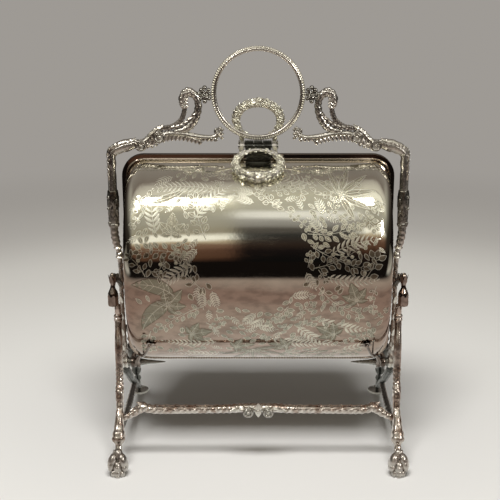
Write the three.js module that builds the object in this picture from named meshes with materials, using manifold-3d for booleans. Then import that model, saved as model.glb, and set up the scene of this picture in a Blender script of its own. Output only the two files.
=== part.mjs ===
// Folding biscuit box: a silver-plated barrel of two half shells, hung between cast side frames.
// Millimetres, +X right, +Y back, +Z up. The origin is on the floor, under the middle of the box.

import * as THREE from 'three';
import { mergeVertices } from 'three/addons/utils/BufferGeometryUtils.js';
import Module from 'manifold-3d';

const wasm = await Module();
wasm.setup();

// Clearances and the overrun of every cut
const solderGap = 0.3;
const runGap = 0.4;
const pinGap = 0.15;
const overrun = 6;
const cornerTolerance = 1e-4;

// Barrel: each half is half of an oval drum with rounded ends and a flat flange
const drumHalfWidth = 94.2;
const drumHalfHeight = 75;
const drumDepth = 55;
const drumFillet = 14;
const drumCentreHeight = 140.2;
const wall = 1.1;
const partingGap = 0.5;
const flangeOverhang = 4;
const flangeThick = 1.2;
const flangeCorner = 16;
const rimWidth = 2.8;
const rimDepth = 1.6;
const rimBevel = 0.5;

// Frame: uprights, pivots and feet
const uprightTopClearance = 7.4;
const uprightTopHalfSpan = drumHalfWidth + flangeOverhang + uprightTopClearance;
const uprightTopDrop = 0.1;
const uprightTopHeight = drumCentreHeight + drumHalfHeight + flangeOverhang - uprightTopDrop;
const pivotClearance = 7.2;
const pivotHalfSpan = drumHalfWidth + pivotClearance;
const pivotDrop = 7.4;
const pivotHeight = drumCentreHeight - drumHalfHeight - pivotDrop;
const uprightRadius = 3.1;
const bossRadius = 4.6;
const bossThick = 4.8;
const leafCupHeight = 27;
const leafCupRadius = 4.8;
const leafCupShare = 0.6646;

const footHalfSpan = 100;
const frontFootReach = 69;
const legTopHalfSpan = 101.8;
const legTopReach = 26;
const legTopHeight = 113.2;
const legRadius = 2.5;
const pawHalfWidth = 8.2;
const pawLength = 21;
const pawHeight = 11.5;
const finialHalfSpan = 104.5;
const finialReach = 28;
const finialHeight = 25;
const finialRadius = 3.7;

const rearFootReach = 73.58;
const rearFootRadius = 7.6;
const rearFootHeight = 5;
const rearLegTopHalfSpan = 100.6;
const rearLegTopReach = 33;
const rearLegTopHeight = 65;
const rearLegRadius = 3.9;
const strutRadius = 2.5;
const linkArmRadius = 1.8;
const rearArmHeight = 80;

// Stretchers
const stretcherReachShare = 0.558;
const stretcherHeightShare = 0.28;
const stretcherBumpHalfSpan = 84.5;
const stretcherRadius = 2.5;
const ornamentHalfWidth = 11;
const ornamentHeight = 13;
const ornamentThick = 2.6;
const rearStretcherReach = 46.7;
const rearStretcherHeight = 44;
const rearStretcherRadius = 2.2;
const sideStretcherHeight = 21;
const sideStretcherRadius = 2.1;

// Top arms, bird-necked scrolls and ring handle
const armRise = 50;
const armBaseDrop = 3.1;
const armBaseHeight = uprightTopHeight - armBaseDrop;
const armRadius = 4;
const armDepthShare = 0.7;
const fringeThick = 1.8;
const ringRise = 46.5;
const ringRadius = 32;
const ringTubeRadius = 1.75;
const rosetteDrop = 1.1;
const rosetteRadius = 3.9;
const rosetteThick = 3.6;
const rosetteOverlap = 0.05;
const rosetteHalfSpan = ringRadius + ringTubeRadius + rosetteRadius - rosetteOverlap;
const ringHeight = armBaseHeight + ringRise;
const rosetteHeight = ringHeight - rosetteDrop;

// Lower pivots and hinge straps
const studRadius = 2.6;
const studShankRadius = 1.6;
const studCollarRadius = 3.4;
const studCollarThick = 1.5;
const studPointHalfSpan = 70.6;
const eyeRadius = 4.2;
const eyeWidth = 3.2;
const nutRadius = 3.2;
const nutLength = 4;
const strapThick = 1.8;
const strapEndHalfSpan = 84;
const strapLeafLength = 5;
const strapLeafHalfWidth = 4.6;
const frontStrapAngle = 46;
const rearStrapAngle = 34;

// Wreath handles and their brackets
const handleAxisReach = 6.2;
const handleAxisRise = 6.8;
const barrelRadius = 1.8;
const barrelHalfLength = 9.6;
const handlePinRadius = 0.8;
const earLength = 3;
const pinHeadLength = 0.9;
const bracketThick = 1.5;
const bracketHalfWidth = 9;
const wreathWidth = 38.5;
const wreathLength = 30.5;
const wreathThick = 7.5;

// Pierced inner grilles
const grillePlane = 5;
const grilleThick = 0.9;
const grilleClearance = 0.8;
const grilleAxisRise = 7.5;
const grilleBarrelRadius = 1.8;
const grilleBarrelHalfLength = 71.5;
const lugThick = 2;
const slotWidth = 10;
const slotLength = 46;
const slotColumns = 7;
const slotRows = 2;
const knobRadius = 3.4;
const knobLength = 3.2;

const roundSides = 8;
const smallSides = 6;
const turnedSides = 10;
const drumSides = 36;
const drumEndSteps = 4;
const cornerSteps = 3;
const ringSteps = 42;
const wreathSteps = 24;
const strapStations = 4;

// Materials
const metal = (color, roughness) => () => new THREE.MeshStandardMaterial({ color, roughness, metalness: 1 });
const silver = metal('#c9c4bb', 0.16);
const castSilver = metal('#a9a294', 0.38);
const wreathSilver = metal('#d9d4bf', 0.42);
const gilt = metal('#c8b98a', 0.3);
const steel = metal('#8f8d88', 0.35);

const v = (x, y, z) => new THREE.Vector3(x, y, z);
const degrees = THREE.MathUtils.degToRad;
const mix = THREE.MathUtils.lerp;

// A closed mesh with shared corners, no empty triangles and its faces pointing out
function tidy(source) {
  const bare = source.clone();
  bare.deleteAttribute('normal');
  bare.deleteAttribute('uv');
  const merged = mergeVertices(bare, cornerTolerance);
  const place = merged.attributes.position;
  const index = merged.index.array;
  const kept = [];
  let volume = 0;
  const [a, b, c] = [v(0, 0, 0), v(0, 0, 0), v(0, 0, 0)];
  for (let i = 0; i < index.length; i += 3) {
    const [p, q, r] = [index[i], index[i + 1], index[i + 2]];
    if (p === q || q === r || r === p) continue;
    kept.push(p, q, r);
    volume += a.fromBufferAttribute(place, p).dot(
      b.fromBufferAttribute(place, q).cross(c.fromBufferAttribute(place, r)));
  }
  if (volume < 0) kept.reverse();
  merged.setIndex(kept);
  return merged;
}

function toSolid(geometry) {
  const closed = tidy(geometry);
  return new wasm.Manifold(new wasm.Mesh({
    numProp: 3,
    vertProperties: new Float32Array(closed.attributes.position.array),
    triVerts: new Uint32Array(closed.index.array),
  }));
}

function toGeometry(solid) {
  const mesh = solid.getMesh();
  const geometry = new THREE.BufferGeometry();
  geometry.setAttribute('position', new THREE.BufferAttribute(mesh.vertProperties, 3));
  geometry.setIndex(new THREE.BufferAttribute(mesh.triVerts, 1));
  return geometry;
}

const join = (...pieces) => toGeometry(pieces.map(toSolid).reduce((sum, piece) => sum.add(piece)));
const cut = (piece, ...tools) => toGeometry(
  tools.map(toSolid).reduce((rest, tool) => rest.subtract(tool), toSolid(piece)));

function mirrored(geometry, axis) {
  const signs = { x: [-1, 1, 1], y: [1, -1, 1] }[axis];
  return tidy(geometry.clone().scale(...signs));
}

// A tube of changing radius along a smooth curve. `flat` is the direction of its second half axis
function tube(points, radii, { sides = roundSides, flat = v(0, 1, 0), depth = 1, grow = 0 } = {}) {
  const curve = new THREE.CatmullRomCurve3(points, false, 'centripetal');
  const steps = points.length - 1;
  const corners = [];
  const index = [];
  for (let i = 0; i <= steps; i++) {
    const radius = radii[i];
    const centre = points[i];
    const across = curve.getTangent(i / steps).cross(flat).normalize();
    for (let k = 0; k < sides; k++) {
      const angle = 2 * Math.PI * (k + 0.5) / sides;
      corners.push(centre.clone()
        .addScaledVector(across, Math.cos(angle) * (radius + grow))
        .addScaledVector(flat, Math.sin(angle) * (radius * depth + grow)));
    }
  }
  for (let i = 0; i < steps; i++) {
    for (let k = 0; k < sides; k++) {
      const [p, q] = [i * sides + k, i * sides + (k + 1) % sides];
      index.push(p, q, p + sides, q, q + sides, p + sides);
    }
  }
  corners.push(points[0].clone(), points[steps].clone());
  for (let k = 0; k < sides; k++) {
    const next = (k + 1) % sides;
    index.push(corners.length - 2, next, k);
    index.push(corners.length - 1, steps * sides + k, steps * sides + next);
  }
  const geometry = new THREE.BufferGeometry().setFromPoints(corners);
  geometry.setIndex(index);
  return tidy(geometry);
}

// Places and radii from shares of named sizes
const routeIn = (shares, from, to) => shares.map(([x, y, z]) => v(
  mix(from.x, to.x, x), mix(from.y, to.y, y), mix(from.z, to.z, z)));
const radiiOf = (shares, radius) => shares.map((share) => share[share.length - 1] * radius);

// A turned piece: [radius share, length share] from one end to the other, axis +Z
function turned(shares, radius, length, sides = turnedSides, grow = 0) {
  const profile = shares.map(([r, l]) => new THREE.Vector2(r ? r * radius + grow : 0, l * length));
  return tidy(new THREE.LatheGeometry(profile, sides).rotateX(Math.PI / 2));
}

// A flat plate from an outline in X and Z, from the plane y = back towards -Y
function plate(shape, thick, back, { curveSegments = cornerSteps, bevel = 0 } = {}) {
  const geometry = new THREE.ExtrudeGeometry(shape, {
    depth: thick - 2 * bevel,
    curveSegments,
    bevelEnabled: bevel > 0,
    bevelSize: bevel,
    bevelOffset: -bevel,
    bevelThickness: bevel,
    bevelSegments: 1,
  });
  return tidy(geometry.rotateX(Math.PI / 2).translate(0, back - bevel, 0));
}

// A rounded rectangle round the middle of the drum
function roundedRectangle(halfWidth, halfHeight, corner, target = new THREE.Shape()) {
  const [x, z] = [halfWidth - corner, halfHeight - corner];
  const quarter = Math.PI / 2;
  const middles = [[x, z], [-x, z], [-x, -z], [x, -z]];
  middles.forEach(([across, up], i) => {
    target.absarc(across, drumCentreHeight + up, corner, i * quarter, (i + 1) * quarter);
  });
  target.closePath();
  return target;
}

const box = (low, high) => new THREE.BoxGeometry(high.x - low.x, high.y - low.y, high.z - low.z)
  .translate((low.x + high.x) / 2, (low.y + high.y) / 2, (low.z + high.z) / 2);

// A round bar along X
const rod = (radius, from, to) => new THREE.CylinderGeometry(radius, radius, to - from, turnedSides)
  .rotateZ(Math.PI / 2).translate((from + to) / 2, 0, 0);

// A rounded lump with its own half size along each axis
const ball = (x, y, z) => new THREE.SphereGeometry(x, roundSides, smallSides).scale(1, y / x, z / x);

// A scroll in the X-Z plane: a tube that winds in towards its centre
function scroll(centre, radius, thick, start, turn, depth = 1) {
  const turns = 1.3;
  const stations = 10;
  const closingShare = 0.8;
  const thinningShare = 0.25;
  const points = [];
  const radii = [];
  for (let i = 0; i < stations; i++) {
    const share = i / (stations - 1);
    const angle = degrees(start) + turn * turns * share * 2 * Math.PI;
    const reach = (radius - thick) * (1 - closingShare * share);
    points.push(v(Math.cos(angle) * reach, 0, Math.sin(angle) * reach).add(centre));
    radii.push(thick * (1 - thinningShare * share));
  }
  return tube(points, radii, { sides: smallSides, depth });
}

// Frame, right-hand side

const pole = v(uprightTopHalfSpan, 0, uprightTopHeight);
const pivot = v(pivotHalfSpan, 0, pivotHeight);
// [across share, reach share, height share, radius share] from the pivot up to the top of the pole
const uprightShares = [
  [0, 0, 0.012, 0.9], [0.05, 0, 0.13, 0.6], [0.16, 0, 0.3, 0.54], [0.12, 0, 0.42, 0.54],
  [0.17, 0, 0.5, 0.56], [0.22, 0, 0.53, 0.86], [0.4, 0, 0.55, 0.6], [0.72, 0, 0.59, 0.9],
  [1, 0, 0.655, 0.95], [1, 0, 0.82, 1], [1, 0, 1, 1],
];

function bossAt(grow = 0) {
  return rod(bossRadius + grow, -bossThick / 2 - grow, bossThick / 2 + grow)
    .translate(pivotHalfSpan, 0, pivotHeight);
}

function uprightBar(grow = 0) {
  return tube(routeIn(uprightShares, pivot, pole), radiiOf(uprightShares, uprightRadius), { grow });
}

function upright() {
  const bore = rod(studShankRadius + pinGap, -overrun, overrun).translate(pivotHalfSpan, 0, pivotHeight);
  return cut(join(uprightBar(), bossAt()), bore);
}

function leafCup() {
  const bore = uprightRadius + solderGap;
  const rim = leafCupRadius - bore;
  const profileShares = [
    [0, 0], [0.5, 0], [0.75, 0.08], [0.45, 0.14], [0.65, 0.35], [1, 0.62], [0.9, 0.8], [1, 0.9],
    [0.4, 1], [0, 1], [0, 0],
  ];
  const profile = profileShares.map(([r, l]) => new THREE.Vector2(bore + r * rim, l * leafCupHeight));
  return tidy(new THREE.LatheGeometry(profile, turnedSides).rotateX(Math.PI / 2)
    .translate(uprightTopHalfSpan, 0, mix(pivotHeight, uprightTopHeight, leafCupShare)));
}

// Front leg: [across, reach, height, radius] shares from the paw up to the top of the leg
const frontLegShares = [
  [0, 0.08, 0, 0.9], [0.1, 0.17, 0.043, 1.2], [0.19, 0.25, 0.094, 1.65], [0.25, 0.4, 0.165, 1.15],
  [0.32, 0.55, 0.243, 0.9], [0.38, 0.61, 0.321, 0.95], [0.45, 0.66, 0.388, 1.25],
  [0.51, 0.74, 0.46, 0.85], [0.62, 0.81, 0.577, 0.95], [0.75, 0.86, 0.722, 0.95],
  [0.87, 0.95, 0.844, 0.85], [0.92, 0.99, 0.917, 1.1], [0.95, 1, 0.944, 0.8], [1, 1, 1, 0.85],
];
const frontFoot = v(footHalfSpan, -frontFootReach, pawHeight);
const frontLegTop = v(legTopHalfSpan, -legTopReach, legTopHeight);

function frontLegBar(grow = 0) {
  return tube(routeIn(frontLegShares, frontFoot, frontLegTop), radiiOf(frontLegShares, legRadius),
    { flat: v(1, 0, 0), grow });
}

// Paw: a pad with three toes spread like a fan, flat underneath
function paw(grow = 0) {
  const toeTurns = [-30, 0, 30];
  const pad = ball(pawHalfWidth * 0.72 + grow, pawLength * 0.32 + grow, pawHeight * 0.55 + grow)
    .translate(0, 0, pawHeight * 0.45);
  const toe = ball(pawHalfWidth * 0.4 + grow, pawLength * 0.28 + grow, pawHeight * 0.36 + grow)
    .translate(0, -pawLength * 0.3, pawHeight * 0.3);
  const toes = toeTurns.map((turn) => toe.clone().rotateZ(degrees(turn)));
  const floor = box(v(-pawLength, -pawLength, -pawHeight), v(pawLength, pawLength, 0));
  return cut(join(pad, ...toes), floor).translate(footHalfSpan, -frontFootReach, 0);
}

const finialShares = [
  [0, 0], [0.7, 0], [0.92, 0.08], [1, 0.2], [0.92, 0.36], [0.72, 0.44], [1.02, 0.48], [0.72, 0.53],
  [0.45, 0.6], [0.4, 0.68], [0.72, 0.76], [0.66, 0.88], [0.3, 0.97], [0, 1],
];
const finial = (grow = 0) => turned(finialShares, finialRadius, finialHeight, turnedSides, grow)
  .translate(finialHalfSpan, -finialReach, legTopHeight + solderGap);

// Arm from the neck of the finial back to the upright
function finialArm(grow = 0) {
  const neck = v(finialHalfSpan, -finialReach, legTopHeight + finialHeight * 0.64);
  const root = v(mix(pivotHalfSpan, uprightTopHalfSpan, 0.14), 0, legTopHeight * 1.05);
  const shares = [
    [0.05, 0.05, 0.05, 0.9], [0.1, 0.18, -0.12, 0.95], [0.2, 0.36, -0.12, 1], [0.4, 0.6, 0.12, 1.05],
    [0.75, 0.84, 0.55, 1], [0.95, 0.96, 0.9, 0.85], [1, 1, 1.05, 0.75],
  ];
  return tube(routeIn(shares, neck, root), radiiOf(shares, linkArmRadius),
    { flat: v(1, 0, 0), sides: smallSides, grow });
}

// Rear leg: a turned baluster that leans back to its disc foot
const rearLegShares = [
  [0, 0], [0.55, 0], [0.7, 0.03], [0.5, 0.06], [0.5, 0.12], [0.92, 0.16], [0.8, 0.19], [1, 0.22],
  [0.96, 0.36], [0.8, 0.39], [0.92, 0.43], [0.72, 0.6], [0.84, 0.66], [0.4, 0.75], [0.66, 0.81],
  [0.42, 0.86], [0.42, 1.02], [0, 1.02],
];
const rearFootTop = v(footHalfSpan, rearFootReach - rearFootHeight * 0.4, rearFootHeight);
const rearLegTop = v(rearLegTopHalfSpan, rearLegTopReach, rearLegTopHeight);

function rearLeg(grow = 0) {
  const line = rearFootTop.clone().sub(rearLegTop);
  const lean = new THREE.Quaternion().setFromUnitVectors(v(0, 0, 1), line.clone().normalize());
  return turned(rearLegShares, rearLegRadius, line.length(), turnedSides, grow)
    .applyQuaternion(lean).translate(rearLegTop.x, rearLegTop.y, rearLegTop.z);
}

const rearFootShares = [
  [0, 0], [0.9, 0], [1, 0.2], [0.96, 0.42], [0.6, 0.62], [0.4, 0.72], [0.34, 0.92], [0, 0.92],
];
const rearFoot = (grow = 0) => turned(rearFootShares, rearFootRadius, rearFootHeight, 2 * turnedSides, grow)
  .translate(footHalfSpan, rearFootReach, 0);

// Curved strut that carries on from the pivot boss to the rear foot
function strutBar(grow = 0) {
  const foot = v(footHalfSpan, rearFootReach, 0);
  const shares = [
    [0.02, 0.01, 0.06, 1.05], [0.05, 0.08, 0.16, 1.05], [0.2, 0.2, 0.27, 1], [0.4, 0.41, 0.47, 1],
    [0.6, 0.62, 0.63, 1], [0.85, 0.78, 0.77, 0.95], [0.95, 0.92, 0.88, 0.85],
  ];
  return tube(routeIn(shares, pivot, foot), radiiOf(shares, strutRadius), { flat: v(1, 0, 0), grow });
}

// Short arm from the upright to the head of the rear leg
function rearArm() {
  const root = v(mix(pivotHalfSpan, uprightTopHalfSpan, 0.1), 0, rearArmHeight);
  const shares = [
    [0, 0, 0, 0.8], [0.1, 0.15, -0.1, 0.95], [0.25, 0.35, -0.1, 1], [0.5, 0.6, 0.15, 1],
    [0.8, 0.82, 0.5, 1], [0.95, 0.95, 0.85, 1],
  ];
  return tube(routeIn(shares, root, rearLegTop), radiiOf(shares, linkArmRadius),
    { flat: v(1, 0, 0), sides: smallSides });
}

function sideStretcher() {
  const front = v(mix(footHalfSpan, legTopHalfSpan, 0.2), -frontFootReach, 0);
  const back = v(footHalfSpan, rearFootReach, sideStretcherHeight);
  const shares = [
    [0, 0.12, 1.24, 0.9], [0, 0.2, 1.1, 1], [0.1, 0.32, 1, 1], [0.3, 0.5, 0.96, 1.1], [0.4, 0.66, 0.98, 1],
    [0.3, 0.8, 1.03, 0.9],
  ];
  return tube(routeIn(shares, front, back), radiiOf(shares, sideStretcherRadius),
    { flat: v(1, 0, 0), sides: smallSides });
}

// Front stretcher: the ends dip to the legs and swell to a bump near each end
const stretcherReach = mix(frontFootReach, legTopReach, stretcherReachShare);
const stretcherHeight = mix(pawHeight, legTopHeight, stretcherHeightShare);
const stretcherShares = [
  [1.19, 0.79, 0.9], [1.12, 0.87, 0.95], [1.06, 0.96, 1.1], [1, 1.05, 1.25], [0.94, 1.02, 1.05],
  [0.7, 0.99, 0.9], [0.25, 1, 0.95], [0.14, 1.02, 1.15],
];

function frontStretcher() {
  const otherHalf = stretcherShares.map(([x, z, r]) => [-x, z, r]).reverse();
  const whole = [...stretcherShares, ...otherHalf];
  const points = whole.map(([x, z]) => v(x * stretcherBumpHalfSpan, -stretcherReach, z * stretcherHeight));
  return tube(points, radiiOf(whole, stretcherRadius));
}

// Ornament on the front of the stretcher: two scrolls and a pointed leaf
function stretcherOrnament() {
  const back = -stretcherReach - stretcherRadius * 1.2 - solderGap;
  const depth = ornamentThick / ornamentHeight * 3.2;
  const centre = v(ornamentHalfWidth * 0.66, back - ornamentThick / 2, stretcherHeight * 0.94);
  const volute = scroll(centre, ornamentHeight * 0.29, ornamentHeight * 0.1, ornamentStartAngle, -1, depth);
  const leafShares = [
    [0, 0.72], [0.3, 0.3], [0.85, 0.18], [0.85, -0.04], [0.4, -0.12],
    [0, -0.28], [-0.4, -0.12], [-0.85, -0.04], [-0.85, 0.18], [-0.3, 0.3],
  ];
  const leaf = new THREE.Shape(leafShares.map(([x, z]) => new THREE.Vector2(
    x * ornamentHalfWidth, stretcherHeight + z * ornamentHeight)));
  return join(plate(leaf, ornamentThick, back), volute, mirrored(volute, 'x'));
}

function rearStretcher() {
  const span = 2 * rearLegTopHalfSpan;
  const shares = [
    [0, 0], [1, 0], [1, 0.06], [1.4, 0.07], [1.4, 0.085], [1, 0.095], [0.9, 0.3], [1.15, 0.5], [0.9, 0.7],
    [1, 0.905], [1.4, 0.915], [1.4, 0.93], [1, 0.94], [1, 1], [0, 1],
  ];
  return turned(shares, rearStretcherRadius, span, roundSides).translate(0, 0, -span / 2).rotateY(Math.PI / 2)
    .translate(0, rearStretcherReach, rearStretcherHeight);
}

// Top arms: [across, height, radius] shares from the ring out to the upright and above the arm base
const armPlace = (x, z) => v(mix(ringRadius, uprightTopHalfSpan, x), 0, armBaseHeight + z * armRise);
const armTube = (shares, options = {}) => tube(
  shares.map(([x, z]) => armPlace(x, z)), radiiOf(shares, armRadius), { depth: armDepthShare, ...options });

const shoulderShares = [
  [1, 0.068, 0.78], [0.981, 0.12, 0.85], [0.917, 0.168, 1], [0.835, 0.196, 1.05],
  [0.76, 0.212, 0.95], [0.713, 0.24, 0.5],
];
const linkShares = [
  [0.706, 0.188, 0.65], [0.653, 0.26, 0.6], [0.593, 0.34, 0.65], [0.537, 0.404, 0.45],
  [0.478, 0.456, 0.2],
];
const branchShares = [
  [0.509, 0.384, 0.4], [0.461, 0.388, 0.48], [0.372, 0.368, 0.52], [0.275, 0.348, 0.5], [0.179, 0.32, 0.45],
  [0.082, 0.3, 0.4], [0.004, 0.304, 0.38], [-0.049, 0.336, 0.4], [-0.076, 0.392, 0.48], [-0.111, 0.46, 0.5],
];
const neckShares = [
  [0.422, 0.448, 0.45], [0.314, 0.452, 0.7], [0.244, 0.516, 0.8], [0.195, 0.602, 0.75], [0.161, 0.696, 0.65],
  [0.145, 0.78, 0.6], [0.143, 0.852, 0.58], [0.168, 0.936, 0.6], [0.218, 0.972, 0.58], [0.273, 0.944, 0.5],
  [0.301, 0.88, 0.4], [0.308, 0.794, 0.25],
];
const beakShares = [[0.23, 0.94, 0.3], [0.245, 0.78, 0.48], [0.263, 0.652, 0.4], [0.283, 0.56, 0.28]];
// Centres of the two volutes and of the small curl, and both ends of the fringe
const upperVoluteShares = [0.712, 0.184];
const lowerVoluteShares = [0.525, 0.314];
const curlShares = [-0.036, 0.37];
const voluteStartAngle = 60;
const curlStartAngle = -60;
const ornamentStartAngle = 90;
const fringeShares = [[0.638, 0.19], [-0.043, 0.28]];

// Scalloped edge that hangs under the lower branch
function fringe() {
  const scallops = 8;
  const bendShare = 1.5;
  const [from, to] = fringeShares.map((share) => armPlace(...share));
  const drop = armRadius * 0.22;
  const along = (share, lower = 0) => new THREE.Vector2(
    mix(from.x, to.x, share), mix(from.z, to.z, share ** bendShare) - lower);
  const points = [along(1, -drop), along(0.5, -armRadius), along(0, -armRadius)];
  for (let i = 0; i < scallops; i++) {
    const middle = (i + 0.5) / scallops;
    points.push(along(i / scallops), along(middle, drop * (1.2 - middle)));
  }
  points.push(along(1));
  return plate(new THREE.Shape(points), fringeThick, fringeThick / 2);
}

function topArm(grow = 0) {
  const volute = (shares, radius, thick, start, turn, depth) => scroll(
    armPlace(...shares), armRadius * radius + grow, armRadius * thick + grow, start, turn, depth);
  const pieces = [
    armTube(shoulderShares, { grow }),
    armTube(linkShares, { grow, sides: smallSides }),
    armTube(branchShares, { grow, sides: smallSides }),
    volute(upperVoluteShares, 0.92, 0.34, voluteStartAngle, -1, 1.8),
    volute(lowerVoluteShares, 1.05, 0.36, voluteStartAngle, -1, 1.8),
    volute(curlShares, 0.55, 0.24, curlStartAngle, 1, 1.6),
  ];
  if (!grow) pieces.push(fringe());
  return join(...pieces);
}

function birdScroll(grow = 0) {
  return join(armTube(neckShares, { grow }), armTube(beakShares, { grow, sides: smallSides }));
}

const ringHandle = (grow = 0) => tidy(
  new THREE.TorusGeometry(ringRadius, ringTubeRadius + grow, roundSides, ringSteps)
    .rotateX(Math.PI / 2).translate(0, 0, ringHeight));

function rosette() {
  const petals = 6;
  const outline = [];
  for (let i = 0; i < petals * 3; i++) {
    const angle = 2 * Math.PI * i / (petals * 3);
    const reach = rosetteRadius * (0.9 + 0.1 * Math.cos(petals * angle));
    outline.push(new THREE.Vector2(
      rosetteHalfSpan + Math.cos(angle) * reach, rosetteHeight + Math.sin(angle) * reach));
  }
  const flower = plate(new THREE.Shape(outline), rosetteThick, rosetteThick / 2,
    { bevel: rosetteThick * 0.2 });
  const eye = ball(rosetteRadius * 0.36, rosetteThick * 0.68, rosetteRadius * 0.36)
    .translate(rosetteHalfSpan, 0, rosetteHeight);
  return cut(join(flower, eye), ringHandle(solderGap), birdScroll(solderGap));
}

// Lower pivots: a stud through the boss with a long tapered point, and its cap nut outside
const bossInner = pivotHalfSpan - bossThick / 2;
const bossOuter = pivotHalfSpan + bossThick / 2;
const eyeOuterEnd = bossInner - solderGap - studCollarThick - runGap * 2;

function stud() {
  const shankEnd = bossOuter + nutLength * 0.55;
  const length = shankEnd - studPointHalfSpan;
  const at = (x) => (x - studPointHalfSpan) / length;
  const journalStart = eyeOuterEnd - 2 * eyeWidth - runGap * 3;
  const collar = bossInner - solderGap;
  const profile = [
    [0, 0], [0.12, 0], [0.62, at(mix(studPointHalfSpan, journalStart, 0.5))], [1, at(journalStart)],
    [1, at(collar - studCollarThick)], [studCollarRadius / studRadius, at(collar - studCollarThick)],
    [studCollarRadius / studRadius, at(collar)], [studShankRadius / studRadius, at(collar)],
    [studShankRadius / studRadius, 1], [0, 1],
  ];
  return turned(profile, studRadius, length).rotateY(Math.PI / 2)
    .translate(studPointHalfSpan, 0, pivotHeight);
}

function capNut() {
  const bore = (studShankRadius + pinGap) / nutRadius;
  const floorShare = 0.7;
  const shares = [
    [bore, 0], [1, 0], [1, 0.45], [0.7, 0.8], [0.3, 1], [0, 1],
    [0, floorShare], [bore, floorShare], [bore, 0],
  ];
  return turned(shares, nutRadius, nutLength).rotateY(Math.PI / 2)
    .translate(bossOuter + solderGap, 0, pivotHeight);
}

// Barrel halves

// Rounded drum about the X axis, full size, to be cut at the parting plane
function drum(inset) {
  const corner = drumFillet - inset;
  const [end, radius] = [drumHalfWidth - inset, drumHalfHeight - inset];
  const profile = [new THREE.Vector2(0, -end)];
  for (const side of [-1, 1]) {
    for (let i = 0; i <= drumEndSteps; i++) {
      const angle = Math.PI / 2 * (side < 0 ? i : drumEndSteps - i) / drumEndSteps;
      profile.push(new THREE.Vector2(
        radius - corner + Math.sin(angle) * corner, side * (end - corner + Math.cos(angle) * corner)));
    }
  }
  profile.push(new THREE.Vector2(0, end));
  return tidy(new THREE.LatheGeometry(profile, drumSides).rotateZ(-Math.PI / 2)
    .scale(1, (drumDepth - inset) / radius, 1).translate(0, 0, drumCentreHeight));
}

// Half width of the drum's oval section, as its half height, at a distance x from the middle
function drumReachAt(x) {
  const past = Math.max(0, Math.abs(x) - (drumHalfWidth - drumFillet));
  return drumHalfHeight - drumFillet + Math.sqrt(Math.max(0, drumFillet ** 2 - past ** 2));
}

const flangeHalfWidth = drumHalfWidth + flangeOverhang;
const flangeHalfHeight = drumHalfHeight + flangeOverhang;
const flangeTop = drumCentreHeight + flangeHalfHeight;
const handleAxisHeight = flangeTop + handleAxisRise;
const flangeBack = -partingGap / 2;
const flangeFront = flangeBack - flangeThick;

// Grille hinge, inside the bottom of the shell
const grilleAxisY = -grillePlane - grilleBarrelRadius;
const grilleAxisZ = drumCentreHeight - drumHalfHeight + grilleAxisRise;
const shellFloorAt = (y) => drumCentreHeight
  - (drumHalfHeight - wall) * Math.sqrt(1 - (y / (drumDepth - wall)) ** 2);

function grilleLug() {
  const inner = grilleBarrelHalfLength + runGap;
  const ear = box(
    v(inner, grilleAxisY - grilleBarrelRadius, shellFloorAt(grilleAxisY) - wall / 2),
    v(inner + lugThick, grilleAxisY + grilleBarrelRadius, grilleAxisZ + grilleBarrelRadius));
  const bore = rod(handlePinRadius + pinGap, inner - overrun, inner + lugThick + overrun)
    .translate(0, grilleAxisY, grilleAxisZ);
  return cut(ear, bore);
}

// A rounded outline round the middle of the drum, with a rounded opening inside it
function frameOutline(halfWidth, halfHeight, corner, openingInset, openingCorner) {
  const outline = roundedRectangle(halfWidth, halfHeight, corner);
  outline.holes.push(roundedRectangle(
    halfWidth - openingInset, halfHeight - openingInset, openingCorner, new THREE.Path()));
  return outline;
}

function shell() {
  const outline = frameOutline(
    flangeHalfWidth, flangeHalfHeight, flangeCorner, flangeOverhang + wall, drumFillet - wall);
  const back = box(
    v(-flangeHalfWidth - overrun, flangeBack, -overrun),
    v(flangeHalfWidth + overrun, drumDepth + overrun, drumCentreHeight + drumHalfHeight + overrun));
  const dome = cut(drum(0), drum(wall), back);
  const lug = grilleLug();
  return join(plate(outline, flangeThick, flangeBack), dome, lug, mirrored(lug, 'x'));
}

function rimMoulding() {
  const outline = frameOutline(
    flangeHalfWidth, flangeHalfHeight, flangeCorner, rimWidth, flangeCorner - rimWidth);
  return plate(outline, rimDepth, flangeFront - solderGap, { bevel: rimBevel });
}

// Hinge strap: an eye on the stud, a band that hugs the underside of the shell, and a leaf at its end
function hingeStrap(eyeEnd, sweepAngle) {
  const eyeStart = eyeEnd - eyeWidth;
  const eye = rod(eyeRadius, eyeStart, eyeEnd).translate(0, 0, pivotHeight);
  const bore = rod(studRadius + pinGap, eyeStart - overrun, eyeEnd + overrun).translate(0, 0, pivotHeight);
  const middle = (eyeStart + eyeEnd) / 2;
  const ovalShare = drumDepth / drumHalfHeight;
  const hug = (x, turn, lift) => {
    const reach = drumReachAt(x - eyeWidth / 2) + lift;
    const [down, out] = [Math.cos(degrees(turn)), Math.sin(degrees(turn)) * ovalShare];
    return v(x, -out * reach, drumCentreHeight - down * reach);
  };
  const lift = solderGap + strapThick * 0.75;
  const points = [
    v(middle, -eyeRadius * 0.85, pivotHeight),
    v(middle, -eyeRadius * 1.5, pivotHeight + eyeRadius * 0.8),
  ];
  for (let i = 0; i < strapStations; i++) {
    const share = i / (strapStations - 1);
    points.push(hug(mix(middle, strapEndHalfSpan, share), mix(sweepAngle * 0.27, sweepAngle, share), lift));
  }
  const band = tube(points, points.map(() => strapThick / 2),
    { flat: v(1, 0, 0), depth: eyeWidth / strapThick, sides: smallSides });
  const end = hug(strapEndHalfSpan - strapLeafHalfWidth + eyeWidth / 2, sweepAngle, lift + strapThick * 0.2);
  const leaf = ball(strapLeafHalfWidth, strapLeafLength, strapThick * 0.6)
    .rotateX(-degrees(sweepAngle) * 1.1).translate(strapEndHalfSpan, end.y, end.z);
  return cut(join(eye, band, leaf), bore, drum(-solderGap));
}

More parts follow.
